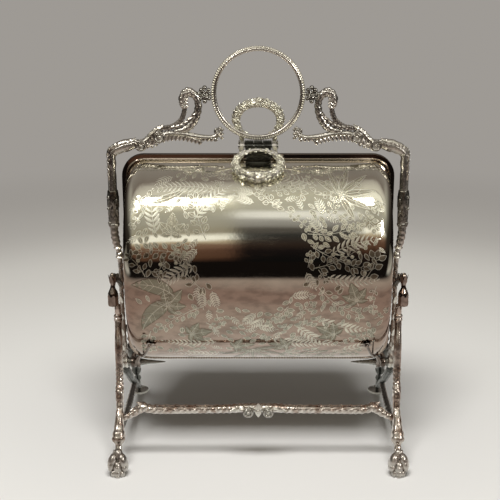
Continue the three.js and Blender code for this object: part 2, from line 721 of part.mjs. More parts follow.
// Bracket on the top of the rim, with the barrel for the handle pin
function handleBracket() {
  const seat = flangeFront - rimDepth - 2 * solderGap;
  const foot = drumCentreHeight + drumHalfHeight + solderGap;
  const outline = new THREE.Shape([
    new THREE.Vector2(-seat, foot), new THREE.Vector2(-seat, flangeTop),
    new THREE.Vector2(handleAxisReach - bracketThick / 2, handleAxisHeight),
    new THREE.Vector2(handleAxisReach + bracketThick / 2, handleAxisHeight),
    new THREE.Vector2(bracketThick - seat, flangeTop), new THREE.Vector2(bracketThick - seat, foot),
  ]);
  const web = new THREE.ExtrudeGeometry(outline, { depth: 2 * bracketHalfWidth, bevelEnabled: false })
    .translate(0, 0, -bracketHalfWidth).rotateX(Math.PI / 2).rotateZ(-Math.PI / 2);
  const barrel = rod(barrelRadius, -barrelHalfLength, barrelHalfLength)
    .translate(0, -handleAxisReach, handleAxisHeight);
  const bore = rod(handlePinRadius + pinGap, -barrelHalfLength - overrun, barrelHalfLength + overrun)
    .translate(0, -handleAxisReach, handleAxisHeight);
  return cut(join(web, barrel), bore);
}

// Wreath handle, upright over its hinge axis at the origin
const wreathCentre = barrelRadius + runGap + wreathLength / 2;

function wreath() {
  const ripples = 8;
  const rippleShare = 0.04;
  const halfX = (wreathWidth - wreathThick) / 2;
  const halfZ = (wreathLength - wreathThick) / 2;
  const corners = [];
  const index = [];
  for (let i = 0; i < wreathSteps; i++) {
    const angle = 2 * Math.PI * i / wreathSteps;
    const next = (i + 1) % wreathSteps;
    const out = v(Math.cos(angle) / halfX, 0, Math.sin(angle) / halfZ).normalize();
    const centre = v(Math.cos(angle) * halfX, 0, wreathCentre + Math.sin(angle) * halfZ);
    const radius = wreathThick / 2 * (1 - rippleShare + rippleShare * Math.cos(angle * ripples));
    for (let k = 0; k < roundSides; k++) {
      const turn = 2 * Math.PI * k / roundSides;
      corners.push(centre.clone().addScaledVector(out, Math.cos(turn) * radius)
        .addScaledVector(v(0, 1, 0), Math.sin(turn) * radius));
      const beside = (k + 1) % roundSides;
      const [p, q] = [i * roundSides + k, i * roundSides + beside];
      const [r, s] = [next * roundSides + k, next * roundSides + beside];
      index.push(p, q, r, q, s, r);
    }
  }
  const loop = new THREE.BufferGeometry().setFromPoints(corners);
  loop.setIndex(index);
  const earStart = barrelHalfLength + runGap;
  const ear = rod(barrelRadius, earStart, earStart + earLength);
  const earMiddle = earStart + earLength / 2;
  const stub = tube([v(earMiddle, 0, 0), v(earMiddle, 0, wreathCentre - halfZ / 2)],
    [earLength * 0.4, earLength * 0.5], { sides: smallSides });
  const bore = rod(handlePinRadius + pinGap, -wreathWidth / 2, wreathWidth / 2);
  return cut(join(loop, ear, mirrored(ear, 'x'), stub, mirrored(stub, 'x')), bore);
}

function handlePin() {
  const reach = barrelHalfLength + runGap + earLength + solderGap;
  const head = rod(barrelRadius, reach, reach + pinHeadLength);
  const shank = rod(handlePinRadius, -reach - pinHeadLength / 2, reach + pinHeadLength / 2);
  return join(shank, head, mirrored(head, 'x'));
}

// Tilt from upright at which the wreath lies just clear of the shell
function wreathRestTurn() {
  const [half, far] = [wreathThick / 2, wreathCentre + wreathLength / 2];
  const clearAt = (turn) => {
    let least = Infinity;
    for (let along = wreathCentre; along <= far; along += half / 4) {
      const lean = turn - Math.PI / 2;
      const inset = Math.max(0, along - (far - half));
      const under = Math.sqrt(half ** 2 - inset ** 2);
      const y = -handleAxisReach - Math.cos(lean) * along + Math.sin(lean) * under;
      const z = handleAxisHeight - Math.sin(lean) * along - Math.cos(lean) * under - drumCentreHeight;
      const level = Math.hypot(y / drumDepth, z / drumHalfHeight);
      least = Math.min(least, (level - 1) * drumDepth);
    }
    return least;
  };
  const halvings = 30;
  let [low, high] = [Math.PI / 2, Math.PI];
  for (let i = 0; i < halvings; i++) {
    const middle = (low + high) / 2;
    if (clearAt(middle) > runGap) low = middle;
    else high = middle;
  }
  return low;
}

// Pierced grille with a rolled hinge barrel along its bottom edge
function grille() {
  const halfWidth = drumHalfWidth - wall - grilleClearance;
  const halfHeight = drumHalfHeight - wall - 2 * grilleClearance;
  const outline = roundedRectangle(halfWidth, halfHeight, drumFillet - wall - grilleClearance);
  const edgeShare = 0.4;
  const stepX = 2 * halfWidth / (slotColumns + edgeShare);
  const stepZ = 2 * halfHeight / (slotRows + edgeShare);
  const end = (slotLength - slotWidth) / 2;
  for (let row = 0; row < slotRows; row++) {
    for (let column = 0; column < slotColumns; column++) {
      const x = (column - (slotColumns - 1) / 2) * stepX;
      const z = drumCentreHeight + (row - (slotRows - 1) / 2) * stepZ;
      const slot = new THREE.Path();
      slot.absarc(x, z + end, slotWidth / 2, 0, Math.PI);
      slot.absarc(x, z - end, slotWidth / 2, Math.PI, 2 * Math.PI);
      slot.closePath();
      outline.holes.push(slot);
    }
  }
  const sheet = plate(outline, grilleThick, -grillePlane, { curveSegments: 3 });
  const foot = grilleAxisZ + grilleBarrelRadius + 2 * runGap;
  const below = box(
    v(-drumHalfWidth, -grillePlane - overrun, pivotHeight),
    v(drumHalfWidth, overrun - grillePlane, foot));
  const strip = box(
    v(-grilleBarrelHalfLength, -grillePlane - grilleThick, grilleAxisZ),
    v(grilleBarrelHalfLength, -grillePlane, foot + wall));
  const barrel = rod(grilleBarrelRadius, -grilleBarrelHalfLength, grilleBarrelHalfLength);
  const bore = rod(handlePinRadius + pinGap, -drumHalfWidth, drumHalfWidth);
  const toAxis = (geometry) => geometry.translate(0, grilleAxisY, grilleAxisZ);
  return cut(join(cut(sheet, below), strip, toAxis(barrel)), toAxis(bore));
}

function grillePin() {
  const reach = grilleBarrelHalfLength + runGap + lugThick;
  return rod(handlePinRadius, -reach, reach).translate(0, grilleAxisY, grilleAxisZ);
}

function grilleKnob() {
  const shares = [[0, 0], [0.5, 0], [0.4, 0.35], [1, 0.6], [0.9, 0.85], [0.4, 1], [0, 1]];
  const height = drumCentreHeight + drumHalfHeight - slotWidth;
  return turned(shares, knobRadius, knobLength).rotateX(-Math.PI / 2)
    .translate(0, solderGap - grillePlane, height);
}

// The object

const biscuitBox = new THREE.Group();

function add(name, geometry, material, parent = biscuitBox) {
  const mesh = new THREE.Mesh(tidy(geometry), material());
  mesh.name = name;
  parent.add(mesh);
  return mesh;
}

function addPair(name, geometry, material, parent) {
  add(`${name}_right`, geometry, material, parent);
  add(`${name}_left`, mirrored(geometry, 'x'), material, parent);
}

// Frame
const paws = paw();
const legGrown = frontLegBar(solderGap);
const frontLeg = cut(frontLegBar(), paw(solderGap));
const uprightGrown = join(uprightBar(solderGap), bossAt(solderGap));
const uprightTop = box(
  v(uprightTopHalfSpan - overrun, -overrun, uprightTopHeight - overrun),
  v(uprightTopHalfSpan + overrun, overrun, uprightTopHeight + solderGap));
const rearLegGrown = rearLeg(solderGap);
const rearFootGrown = rearFoot(solderGap);
const strut = cut(strutBar(), bossAt(solderGap), rearFootGrown, rearLegGrown);

addPair('upright', upright(), castSilver);
addPair('upright_leaf_cup', leafCup(), castSilver);
addPair('front_leg', frontLeg, castSilver);
addPair('front_paw', paws, castSilver);
addPair('front_finial', finial(), silver);
addPair('finial_arm', cut(finialArm(), finial(solderGap), uprightGrown), castSilver);
addPair('rear_leg', cut(rearLeg(), rearFootGrown), castSilver);
addPair('rear_foot', rearFoot(), silver);
addPair('rear_strut', strut, castSilver);
addPair('rear_arm', cut(rearArm(), uprightGrown, rearLegGrown), castSilver);
addPair('side_stretcher', cut(sideStretcher(), legGrown, strutBar(solderGap)), castSilver);
add('front_stretcher', cut(frontStretcher(), legGrown, mirrored(legGrown, 'x')), castSilver);
add('front_stretcher_ornament', stretcherOrnament(), castSilver);
add('rear_stretcher', cut(rearStretcher(), rearLegGrown, mirrored(rearLegGrown, 'x')), castSilver);
addPair('top_arm', cut(topArm(), ringHandle(solderGap), uprightTop), castSilver);
addPair('bird_scroll', cut(birdScroll(), topArm(solderGap)), castSilver);
addPair('ring_rosette', rosette(), castSilver);
add('ring_handle', ringHandle(), silver);
addPair('pivot_stud', stud(), steel);
addPair('pivot_nut', capNut(), steel);

// Barrel halves, front as made and rear mirrored
const wreathTurn = wreathRestTurn();
for (const half of ['front', 'rear']) {
  const rear = half === 'rear';
  const side = (geometry) => (rear ? mirrored(geometry, 'y') : geometry);
  const eyeEnd = rear ? eyeOuterEnd : eyeOuterEnd - eyeWidth - runGap;
  const strap = hingeStrap(eyeEnd, rear ? rearStrapAngle : frontStrapAngle);
  add(`${half}_shell`, side(shell()), silver);
  add(`${half}_rim`, side(rimMoulding()), silver);
  addPair(`${half}_hinge_strap`, side(strap), castSilver);
  add(`${half}_handle_bracket`, side(handleBracket()), silver);
  add(`${half}_grille`, side(grille()), gilt);
  add(`${half}_grille_pin`, side(grillePin()), steel);
  add(`${half}_grille_knob`, side(grilleKnob()), gilt);

  const hinge = new THREE.Group();
  hinge.position.set(0, rear ? handleAxisReach : -handleAxisReach, handleAxisHeight);
  biscuitBox.add(hinge);
  add(`${half}_handle_pin`, handlePin(), steel, hinge);
  const swung = new THREE.Group();
  if (!rear) swung.rotation.x = wreathTurn;
  hinge.add(swung);
  add(`${half}_wreath_handle`, wreath(), wreathSilver, swung);
}

export default biscuitBox;
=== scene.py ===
"""Looks of the folding biscuit box: cast silver frame, engraved barrel halves, ring and wreath handles."""

import random
from math import asin, atan2, copysign, cos, hypot, pi, radians, sin, sqrt, tau

import bmesh
import bpy
from mathutils import Matrix, Vector


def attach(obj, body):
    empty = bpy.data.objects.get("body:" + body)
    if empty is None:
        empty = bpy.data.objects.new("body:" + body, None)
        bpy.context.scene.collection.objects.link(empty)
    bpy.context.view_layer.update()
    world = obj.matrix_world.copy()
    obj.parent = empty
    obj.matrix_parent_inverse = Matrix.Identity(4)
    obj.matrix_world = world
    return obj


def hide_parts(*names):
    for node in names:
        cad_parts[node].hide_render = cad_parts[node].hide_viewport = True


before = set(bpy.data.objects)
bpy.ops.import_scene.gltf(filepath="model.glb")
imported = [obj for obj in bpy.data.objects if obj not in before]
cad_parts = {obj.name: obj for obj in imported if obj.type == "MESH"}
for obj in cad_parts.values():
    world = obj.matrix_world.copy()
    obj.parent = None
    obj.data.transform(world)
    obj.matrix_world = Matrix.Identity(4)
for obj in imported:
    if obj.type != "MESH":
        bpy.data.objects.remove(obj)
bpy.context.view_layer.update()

MM = 0.001

# Sizes in millimetres, as in the frame
DRUM_END, DRUM_HIGH, DRUM_DEEP, FILLET, CENTRE, WALL = 94.2, 75.0, 55.0, 14.0, 140.2, 1.1
FLANGE_X, FLANGE_Z, FLANGE_CORNER = 98.2, 79.0, 16.0
FLANGE_BACK, FLANGE_FRONT = -0.25, -1.45
PIVOT_X, PIVOT_Z = 101.4, 57.8
POLE_X, POLE_Z = 105.6, 219.1
ARM_BASE, ARM_RISE, ARM_R = 216.0, 50.0, 4.0
RING_Z, RING_R = 262.5, 32.0
FOOT_X, PAW_Y, REAR_FOOT_Y, LEG_TOP = 100.0, -69.0, 73.58, 113.2
FINIAL_X, FINIAL_Y, FINIAL_Z = 104.5, -28.0, 113.5
CUP_Z = 165.0
REAR_LEG_TOP = (100.6, 33.0, 65.0)
STRETCHER_X, STRETCHER_Y, STRETCHER_Z = 84.5, -45.0, 40.0
SCROLL_X, SCROLL_Y, SCROLL_Z, SCROLL_R = 7.3, -49.6, 39.0, 3.9
REAR_BAR_HALF, REAR_BAR_Y, REAR_BAR_Z = 98.6, 46.7, 44.0
ROSETTE = (37.6, 0.0, 261.4)
STUD_TIP, NUT_X = 70.6, 104.1
HANDLE_Y, HANDLE_Z = 6.2, 226.0
WREATH_HANG = 126.12  # degrees from upright to where the front wreath hangs on the shell

# How finely a small and a middling cast leaf are divided
SMALL_LEAF = {"lobes": 2, "rows": 6, "cols": 4}
MID_LEAF = {"lobes": 2, "rows": 7, "cols": 4}


def V(x, y, z):
    return Vector((x, y, z))


def linked(name, data):
    """A new object in the scene."""
    piece = bpy.data.objects.new(name, data)
    bpy.context.scene.collection.objects.link(piece)
    return piece


# Mesh building

def spread(count, first, second, shift=0.0):
    """Directions spread evenly over a full turn, from the first towards the second."""
    turns = (tau / count * (k + shift) for k in range(count))
    return [first * cos(a) + second * sin(a) for a in turns]


def smooth_path(rows, per):
    """Points, each with a radius last, on a smooth curve through the given ones."""
    out = []
    n = len(rows)
    for i in range(n - 1):
        a, b, c, d = (rows[max(i - 1, 0)], rows[i], rows[i + 1], rows[min(i + 2, n - 1)])
        for k in range(per):
            t = k / per
            out.append([0.5 * (2 * q + (r - p) * t + (2 * p - 5 * q + 4 * r - s) * t * t
                               + (3 * q - p - 3 * r + s) * t ** 3)
                        for p, q, r, s in zip(a, b, c, d)])
    out.append(list(rows[-1]))
    return out


class Lump:
    """Collects the vertices and faces of one piece, in millimetres."""

    def __init__(self):
        self.verts = []
        self.faces = []

    def add(self, verts, faces):
        start = len(self.verts)
        self.verts.extend(Vector(v) for v in verts)
        self.faces.extend([start + i for i in face] for face in faces)

    def rings(self, rings, close=False):
        """Joins rings of equal length into a tube, with flat ends or closed on itself."""
        sides = len(rings[0])
        faces = []
        count = len(rings)
        for i in range(count if close else count - 1):
            for k in range(sides):
                a, b = i * sides + k, i * sides + (k + 1) % sides
                j = (i + 1) % count
                faces.append((a, b, j * sides + (k + 1) % sides, j * sides + k))
        if not close:
            faces.append(tuple(range(sides))[::-1])
            faces.append(tuple((count - 1) * sides + k for k in range(sides)))
        self.add([v for ring in rings for v in ring], faces)

    def tube(self, points, radii, sides=14, per=6, flat=(0, 1, 0), depth=1.0, detail=None):
        """A rod through the points, with round ends; detail gives its surface from run and turn."""
        flat = Vector(flat)
        path = smooth_path([tuple(p) + (r,) for p, r in zip(points, radii)], per)
        spots = [Vector(row[:3]) for row in path]
        run = 0.0
        rings = []
        last = len(path) - 1
        for i, row in enumerate(path):
            if i:
                run += (spots[i] - spots[i - 1]).length
            tangent = (spots[min(i + 1, last)] - spots[max(i - 1, 0)]).normalized()
            across = tangent.cross(flat).normalized()
            second = across.cross(tangent).normalized()
            ring = []
            for k in range(sides):
                a = tau * k / sides
                grow = detail(run, a) if detail else 1.0
                ring.append(spots[i] + across * cos(a) * row[3] * grow
                            + second * sin(a) * row[3] * depth * grow)
            rings.append(ring)
            if i in (0, last):
                # a rounded end
                for share, out in ((0.72, 0.32), (0.3, 0.5)):
                    away = tangent * (row[3] * out * (1 if i else -1))
                    extra = [spots[i] + (v - spots[i]) * share + away for v in ring]
                    if i:
                        rings.append(extra)
                    else:
                        rings.insert(0, extra)
        self.rings(rings)

    def lathe(self, profile, base, axis, sides=32, wave=None):
        """A turned shape; profile: (radius, distance along the axis)."""
        axis = Vector(axis).normalized()
        side = axis.orthogonal().normalized()
        other = axis.cross(side)
        rings = []
        for r, d in profile:
            ring = []
            for k in range(sides):
                a = tau * k / sides
                reach = max(r, 0.01) * (wave(d, a) if wave else 1.0)
                ring.append(Vector(base) + axis * d + (side * cos(a) + other * sin(a)) * reach)
            rings.append(ring)
        self.rings(rings)

    def ball(self, centre, size, rows=6, sides=8, turn=None):
        """A ball with one radius or three."""
        size = Vector(size) if not isinstance(size, (int, float)) else Vector((size, size, size))
        verts = []
        faces = []
        for i in range(rows + 1):
            up = pi * i / rows
            for k in range(sides):
                a = tau * k / sides
                spot = Vector((size.x * sin(up) * cos(a), size.y * sin(up) * sin(a),
                               size.z * cos(up)))
                if turn:
                    spot = turn @ spot
                verts.append(Vector(centre) + spot)
        for i in range(rows):
            for k in range(sides):
                a, b = i * sides + k, i * sides + (k + 1) % sides
                faces.append((a, a + sides, b + sides, b))
        self.add(verts, faces)

    def leaf(self, base, along, up, length, width, thick, curl=0.0, lobes=3, rows=9, cols=6, bite=0.22):
        """A cast leaf: lobed outline, raised ribs, its tip curling away from what it lies on."""
        along = Vector(along).normalized()
        side = along.cross(Vector(up)).normalized()
        up = side.cross(along).normalized()
        top, under = [], []
        for i in range(rows + 1):
            t = i / rows
            wide = width / 2 * sin(pi * min(1, t * 0.93 + 0.05)) ** 0.75
            wide *= 1 - bite * (0.5 + 0.5 * cos(tau * lobes * t))
            lift = curl * t * t
            centre = Vector(base) + along * length * t + up * lift
            for j in range(cols + 1):
                s = 2 * j / cols - 1
                rib = 0.55 + 0.45 * cos(3 * pi * s)
                high = thick * (1 - 0.7 * s * s) * (0.55 + 0.45 * rib) * (1 - 0.6 * t)
                top.append(centre + side * wide * s + up * high + along * (-abs(s) * wide * 0.35))
                under.append(centre + side * wide * s - up * thick * 0.25 * (1 - t)
                             + along * (-abs(s) * wide * 0.35))
        n = len(top)
        faces = []
        for i in range(rows):
            for j in range(cols):
                a = i * (cols + 1) + j
                b = a + cols + 1
                faces.append((a, a + 1, b + 1, b))
                faces.append((n + a, n + b, n + b + 1, n + a + 1))
            for j in (0, cols):
                a = i * (cols + 1) + j
                b = a + cols + 1
                faces.append((a, b, n + b, n + a) if j == 0 else (a, n + a, n + b, b))
        for j in range(cols):
            faces.append((j, n + j, n + j + 1, j + 1))
            a = rows * (cols + 1) + j
            faces.append((a, a + 1, n + a + 1, n + a))
        self.add(top + under, faces)

    def spiral(self, centre, radius, thick, start, turn, deep, turns=1.6):
        """A round bead on both faces: one full turn at the edge, then in to a boss."""
        steps = 48
        for face in (-1, 1):
            middle = Vector(centre) + V(0, face * deep, 0)
            points, radii = [], []
            for i in range(steps + 1):
                t = i / steps
                a = radians(start) + turn * turns * tau * t
                reach = (radius - thick) * (1 - 0.8 * max(0.0, t - 0.45) / 0.55)
                points.append(middle + V(cos(a) * reach, 0, sin(a) * reach))
                radii.append(thick * (1 - 0.3 * t))
            self.tube(points, radii, sides=10, per=1)
            self.ball(middle, (thick * 1.25, thick, thick * 1.25))

    def disc(self, centre, radius, deep):
        """The plain body of a volute, that the spiral lies on."""
        edge = radius - 0.45
        self.lathe([(0.02, -deep), (edge - 0.5, -deep), (edge, 0.5 - deep), (edge, deep - 0.5),
                    (edge - 0.5, deep), (0.02, deep)], centre, V(0, 1, 0), sides=28)

    def mirrored(self, axis):
        other = Lump()
        other.verts = [v.copy() for v in self.verts]
        for v in other.verts:
            v[axis] = -v[axis]
        other.faces = [list(face)[::-1] for face in self.faces]
        return other

    def moved(self, matrix):
        other = Lump()
        other.verts = [matrix @ v for v in self.verts]
        other.faces = [list(face) for face in self.faces]
        return other

    def join(self, other):
        self.add(other.verts, other.faces)

    def object(self, name, body, material, nodes=(), slot="cast_silver", sharp=38, weld=False):
        """Makes the piece in the scene: it rides its body and stands in for its nodes."""
        mesh = bpy.data.meshes.new(name)
        mesh.from_pydata([v * MM for v in self.verts], [], self.faces)
        if weld:
            work = bmesh.new()
            work.from_mesh(mesh)
            bmesh.ops.remove_doubles(work, verts=work.verts, dist=1e-6)
            bmesh.ops.recalc_face_normals(work, faces=work.faces)
            work.to_mesh(mesh)
            work.free()
        mesh.update()
        mesh.shade_smooth()
        mesh.set_sharp_from_angle(angle=radians(sharp))
        mesh.materials.append(material)
        piece = linked(name, mesh)
        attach(piece, body)
        if nodes:
            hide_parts(*nodes)
        return piece


# Materials

class Graph:
    """One node tree, with a call for each kind of node that the materials and the room use."""

    def __init__(self, owner):
        owner.use_nodes = True
        self.nodes, self.links = owner.node_tree.nodes, owner.node_tree.links

    def plug(self, socket, value):
        if isinstance(value, bpy.types.NodeSocket):
            self.links.new(value, socket)
        elif isinstance(value, tuple) and socket.type == "RGBA":
            socket.default_value = value + (1.0,)
        else:
            socket.default_value = value

    def add(self, kind, out, sockets, **settings):
        node = self.nodes.new("ShaderNode" + kind)
        for name, value in settings.items():
            setattr(node, name, value)
        for key, value in sockets.items():
            self.plug(node.inputs[key], value)
        return node.outputs[out]

    def place(self, space="Object"):
        return self.add("TexCoord", space, {})

    def axes(self, place):
        node = self.nodes.new("ShaderNodeSeparateXYZ")
        self.links.new(place, node.inputs["Vector"])
        return [node.outputs[name] for name in "XYZ"]

    def noise(self, place, scale, detail=2.0):
        return self.add("TexNoise", "Fac", {"Vector": place, "Scale": scale, "Detail": detail})

    def stretched(self, place, scale):
        return self.add("Mapping", "Vector", {"Vector": place, "Scale": scale})

    def span(self, value, low, high, first=0.0, last=1.0, **settings):
        return self.add("MapRange", "Result", {"Value": value, "From Min": low, "From Max": high,
                                               "To Min": first, "To Max": last}, **settings)

    def fade(self, value, low, high):
        """From 0 at low to 1 at high, eased, in either direction."""
        ends = (0.0, 1.0) if low < high else (1.0, 0.0)
        return self.span(value, min(low, high), max(low, high), *ends, interpolation_type="SMOOTHSTEP")

    def calc(self, operation, *values):
        return self.add("Math", "Value", dict(enumerate(values)), operation=operation)

    def blend(self, factor, first, second):
        return self.add("Mix", "Result", {"Factor": factor, "A": first, "B": second}, data_type="RGBA")

    def ramp(self, value, stops, interpolation="LINEAR"):
        """stops: (position, colour), in order."""
        node = self.nodes.new("ShaderNodeValToRGB")
        self.links.new(value, node.inputs["Fac"])
        node.color_ramp.interpolation = interpolation
        elements = node.color_ramp.elements
        for element, (position, _) in zip(elements, (stops[0], stops[-1])):
            element.position = position
        for position, _ in stops[1:-1]:
            elements.new(position)
        for element, (_, colour) in zip(elements, stops):
            element.color = colour + (1.0,)
        return node.outputs["Color"]

    def bump(self, normal, height, strength, distance):
        self.plug(normal, self.add("Bump", "Normal", {"Height": height, "Strength": strength,
                                                      "Distance": distance}))


def metal(name, colour, rough, dark=None, dark_share=0.0, grain=900.0, bump=0.15, vary=0.06, warm=None,
          fade=None, scratch=0.0, hollow=0.0, bare=1.0, stain=None):
    """Silver plate: base tint, darker in the low places (oxide, and painted shade), fine unevenness in gloss
    and surface.
    """
    material = bpy.data.materials.new(name)
    graph = Graph(material)
    shader = graph.nodes["Principled BSDF"].inputs
    shader["Metallic"].default_value = bare
    place = graph.place()
    shade = graph.blend(graph.span(graph.noise(place, 28.0, 5.0), 0.35, 0.65),
                        tuple(c * (1 - vary) for c in colour), colour)
    if warm:
        # below the fade the colour turns darker and warmer towards the bottom: painted shade, and on the
        # shell partly copper where the plate has rubbed through; darker in streaks
        level = graph.calc("ADD", graph.span(graph.axes(place)[2], *fade, 1.0, 0.0),
                           graph.span(graph.noise(place, 16.0, 6.0), 0.3, 0.7, -0.22, 0.22))
        streaks = graph.noise(graph.stretched(place, (110.0, 200.0, 230.0)), 1.0, 6.0)
        worn_and_shaded = graph.blend(graph.span(streaks, 0.44, 0.62, 0.0, 0.8), warm, tuple(c * 0.66 for c in warm))
        shade = graph.blend(graph.span(level, 0.15, 0.85), shade, worn_and_shaded)
    if stain:
        shade = graph.blend(graph.span(graph.noise(place, 150.0, 3.0), 0.48, 0.62, 0.0, 0.9), shade, stain)
    if dark:
        cells = graph.add("TexVoronoi", "Distance", {"Vector": place, "Scale": grain * 0.75})
        shade = graph.blend(graph.span(cells, 0.25, 0.75, 0.0, dark_share), shade, dark)
        # pointiness darkens the hollows: painted shade, partly oxide
        if hollow:
            low = graph.add("NewGeometry", "Pointiness", {})
            shade = graph.blend(graph.span(low, 0.38, 0.52, hollow, 0.0), shade, dark)
    graph.plug(shader["Base Color"], shade)
    gloss = graph.span(graph.noise(place, 60.0, 6.0), 0.3, 0.7, rough * 0.8, rough * 1.25)
    if scratch:
        lines = graph.noise(graph.stretched(place, (12.0, 260.0, 260.0)), 6.0, 8.0)
        gloss = graph.calc("ADD", gloss, graph.span(lines, 0.55, 0.8, 0.0, scratch))
    graph.plug(shader["Roughness"], gloss)
    graph.bump(shader["Normal"], graph.noise(place, grain, 3.0), bump, 0.0004)
    return material


# dark colour of random oxide spots and of the painted shade in the hollows
OXIDE_AND_SHADE = (0.05, 0.042, 0.034)
# below their fade the barrel's plate, engraving and cut lines turn darker towards the bottom: painted shade,
# on the plate partly copper
polished = metal("polished_silver_plate", (0.86, 0.83, 0.72), 0.055, bump=0.012, grain=420.0, vary=0.05,
                 warm=(0.40, 0.305, 0.25), fade=(0.130, 0.150), scratch=0.05)
ring_metal = metal("ring_silver", (0.94, 0.91, 0.79), 0.30, dark=OXIDE_AND_SHADE, dark_share=0.06, grain=700.0,
                   bump=0.06, hollow=0.6, bare=0.8)
# the rim's plate is darker and browner than the shell's: a painted dark reflection
rim_plate = metal("rim_silver_plate", (0.54, 0.465, 0.40), 0.09, dark=OXIDE_AND_SHADE, dark_share=0.12, grain=700.0,
                  bump=0.03, vary=0.1)
paw_metal = metal("paw_silver_worn", (0.66, 0.61, 0.57), 0.27, dark=OXIDE_AND_SHADE, dark_share=0.3, grain=420.0,
                  bump=0.25, vary=0.2, hollow=0.95)
bell_metal = metal("finial_silver_dark", (0.46, 0.385, 0.34), 0.14, dark=(0.03, 0.02, 0.015), dark_share=0.35,
                   grain=420.0, bump=0.15, vary=0.3, hollow=0.9)
cast = metal("cast_silver_plate", (0.88, 0.84, 0.775), 0.27, dark=OXIDE_AND_SHADE, dark_share=0.22, grain=620.0,
             bump=0.4, vary=0.12, hollow=0.9)
cast_warm = metal("cast_silver_worn", (0.90, 0.815, 0.745), 0.25, dark=OXIDE_AND_SHADE, dark_share=0.18, grain=560.0,
                  bump=0.25, vary=0.16, hollow=0.85, stain=(0.47, 0.34, 0.275))
scroll_face = metal("scroll_face_silver", (0.56, 0.53, 0.475), 0.45, dark=OXIDE_AND_SHADE, dark_share=0.2, grain=620.0,
                    bump=0.2, vary=0.15, bare=0.6)
# a darker cast metal; on the parts under the barrel it is painted shade
dark_cast = metal("cast_silver_dark_tone", (0.40, 0.385, 0.35), 0.24, dark=(0.03, 0.03, 0.028),
                  dark_share=0.3, grain=620.0, bump=0.35, vary=0.2, hollow=0.8)
# near black; on the rear legs and struts it is painted shade under the barrel
darkest = metal("cast_silver_near_black", (0.12, 0.12, 0.11), 0.28, dark=(0.02, 0.02, 0.018), dark_share=0.3,
                grain=620.0, bump=0.2, vary=0.3, hollow=0.8)
wreath_metal = metal("wreath_silver_plate", (0.97, 0.95, 0.82), 0.36, dark=(0.11, 0.09, 0.06), dark_share=0.1,
                     grain=700.0, bump=0.3, vary=0.06, hollow=0.75)
engraved = metal("engraved_silver", (0.50, 0.47, 0.36), 0.42, dark=(0.22, 0.20, 0.15), dark_share=0.45,
                 grain=2400.0, bump=0.7, vary=0.12, warm=(0.43, 0.405, 0.32), fade=(0.112, 0.150))
cut_line = metal("engraved_line", (0.97, 0.95, 0.82), 0.3, grain=1600.0, bump=0.15, vary=0.05,
                 warm=(0.74, 0.70, 0.59), fade=(0.112, 0.150))
deep_line = metal("engraved_outline", (0.26, 0.215, 0.155), 0.3, grain=1600.0, bump=0.15, vary=0.1)
gilt = metal("worn_gilt", (0.80, 0.66, 0.38), 0.2, dark=(0.16, 0.11, 0.05), dark_share=0.15, grain=500.0,
             bump=0.08, vary=0.12, scratch=0.06)
steel = metal("hinge_steel", (0.46, 0.45, 0.42), 0.26, dark=(0.06, 0.05, 0.04), dark_share=0.3, grain=700.0,
              bump=0.2, vary=0.15)


# Barrel

def drum_reach(x):
    """Half height of the drum at x, less towards its rounded ends."""
    past = max(0.0, abs(x) - (DRUM_END - FILLET))
    return DRUM_HIGH - FILLET + sqrt(max(0.0, FILLET ** 2 - past ** 2))


def drum_profile(inset):
    """Half section of the drum along its length: (x, radius)."""
    arc, straight = 10, 24
    corner, end, high = FILLET - inset, DRUM_END - inset, DRUM_HIGH - inset
    rows = [(-end, 0.02), (-end, (high - corner) * 0.5)]
    for i in range(arc + 1):
        a = pi / 2 * i / arc
        rows.append((-(end - corner + cos(a) * corner), high - corner + sin(a) * corner))
    for i in range(1, straight):
        rows.append((-(end - corner) + 2 * (end - corner) * i / straight, high))
    rows.extend([(-x, r) for x, r in rows[arc + 2::-1]])
    return rows


def on_drum(x, turn, lift):
    """Point of the front drum at x and at a turn above its widest line, with its outward direction."""
    reach = drum_reach(x)
    deep = reach * DRUM_DEEP / DRUM_HIGH
    spot = V(x, -deep * cos(turn), CENTRE + reach * sin(turn))
    out = V(0, -cos(turn) / deep, sin(turn) / reach).normalized()
    past = abs(x) - (DRUM_END - FILLET)
    if past > 0:
        lean = asin(min(1.0, past / FILLET))
        out = (out * cos(lean) + V(copysign(1, x), 0, 0) * sin(lean)).normalized()
    return spot + out * lift, out


def rounded_loop(half_x, half_z, corner):
    """Rectangle with round corners, about the middle of the box: (x, z)."""
    per, straight = 10, 14
    spots = []
    centres = [(half_x - corner, half_z - corner), (corner - half_x, half_z - corner),
               (corner - half_x, corner - half_z), (half_x - corner, corner - half_z)]
    for i, (cx, cz) in enumerate(centres):
        for k in range(per + 1):
            a = pi / 2 * (i + k / per)
            spots.append((cx + cos(a) * corner, CENTRE + cz + sin(a) * corner))
        nx, nz = centres[(i + 1) % 4]
        a = pi / 2 * (i + 1)
        start = spots[-1]
        stop = (nx + cos(a) * corner, CENTRE + nz + sin(a) * corner)
        for k in range(1, straight):
            t = k / straight
            spots.append((start[0] + (stop[0] - start[0]) * t, start[1] + (stop[1] - start[1]) * t))
    return spots


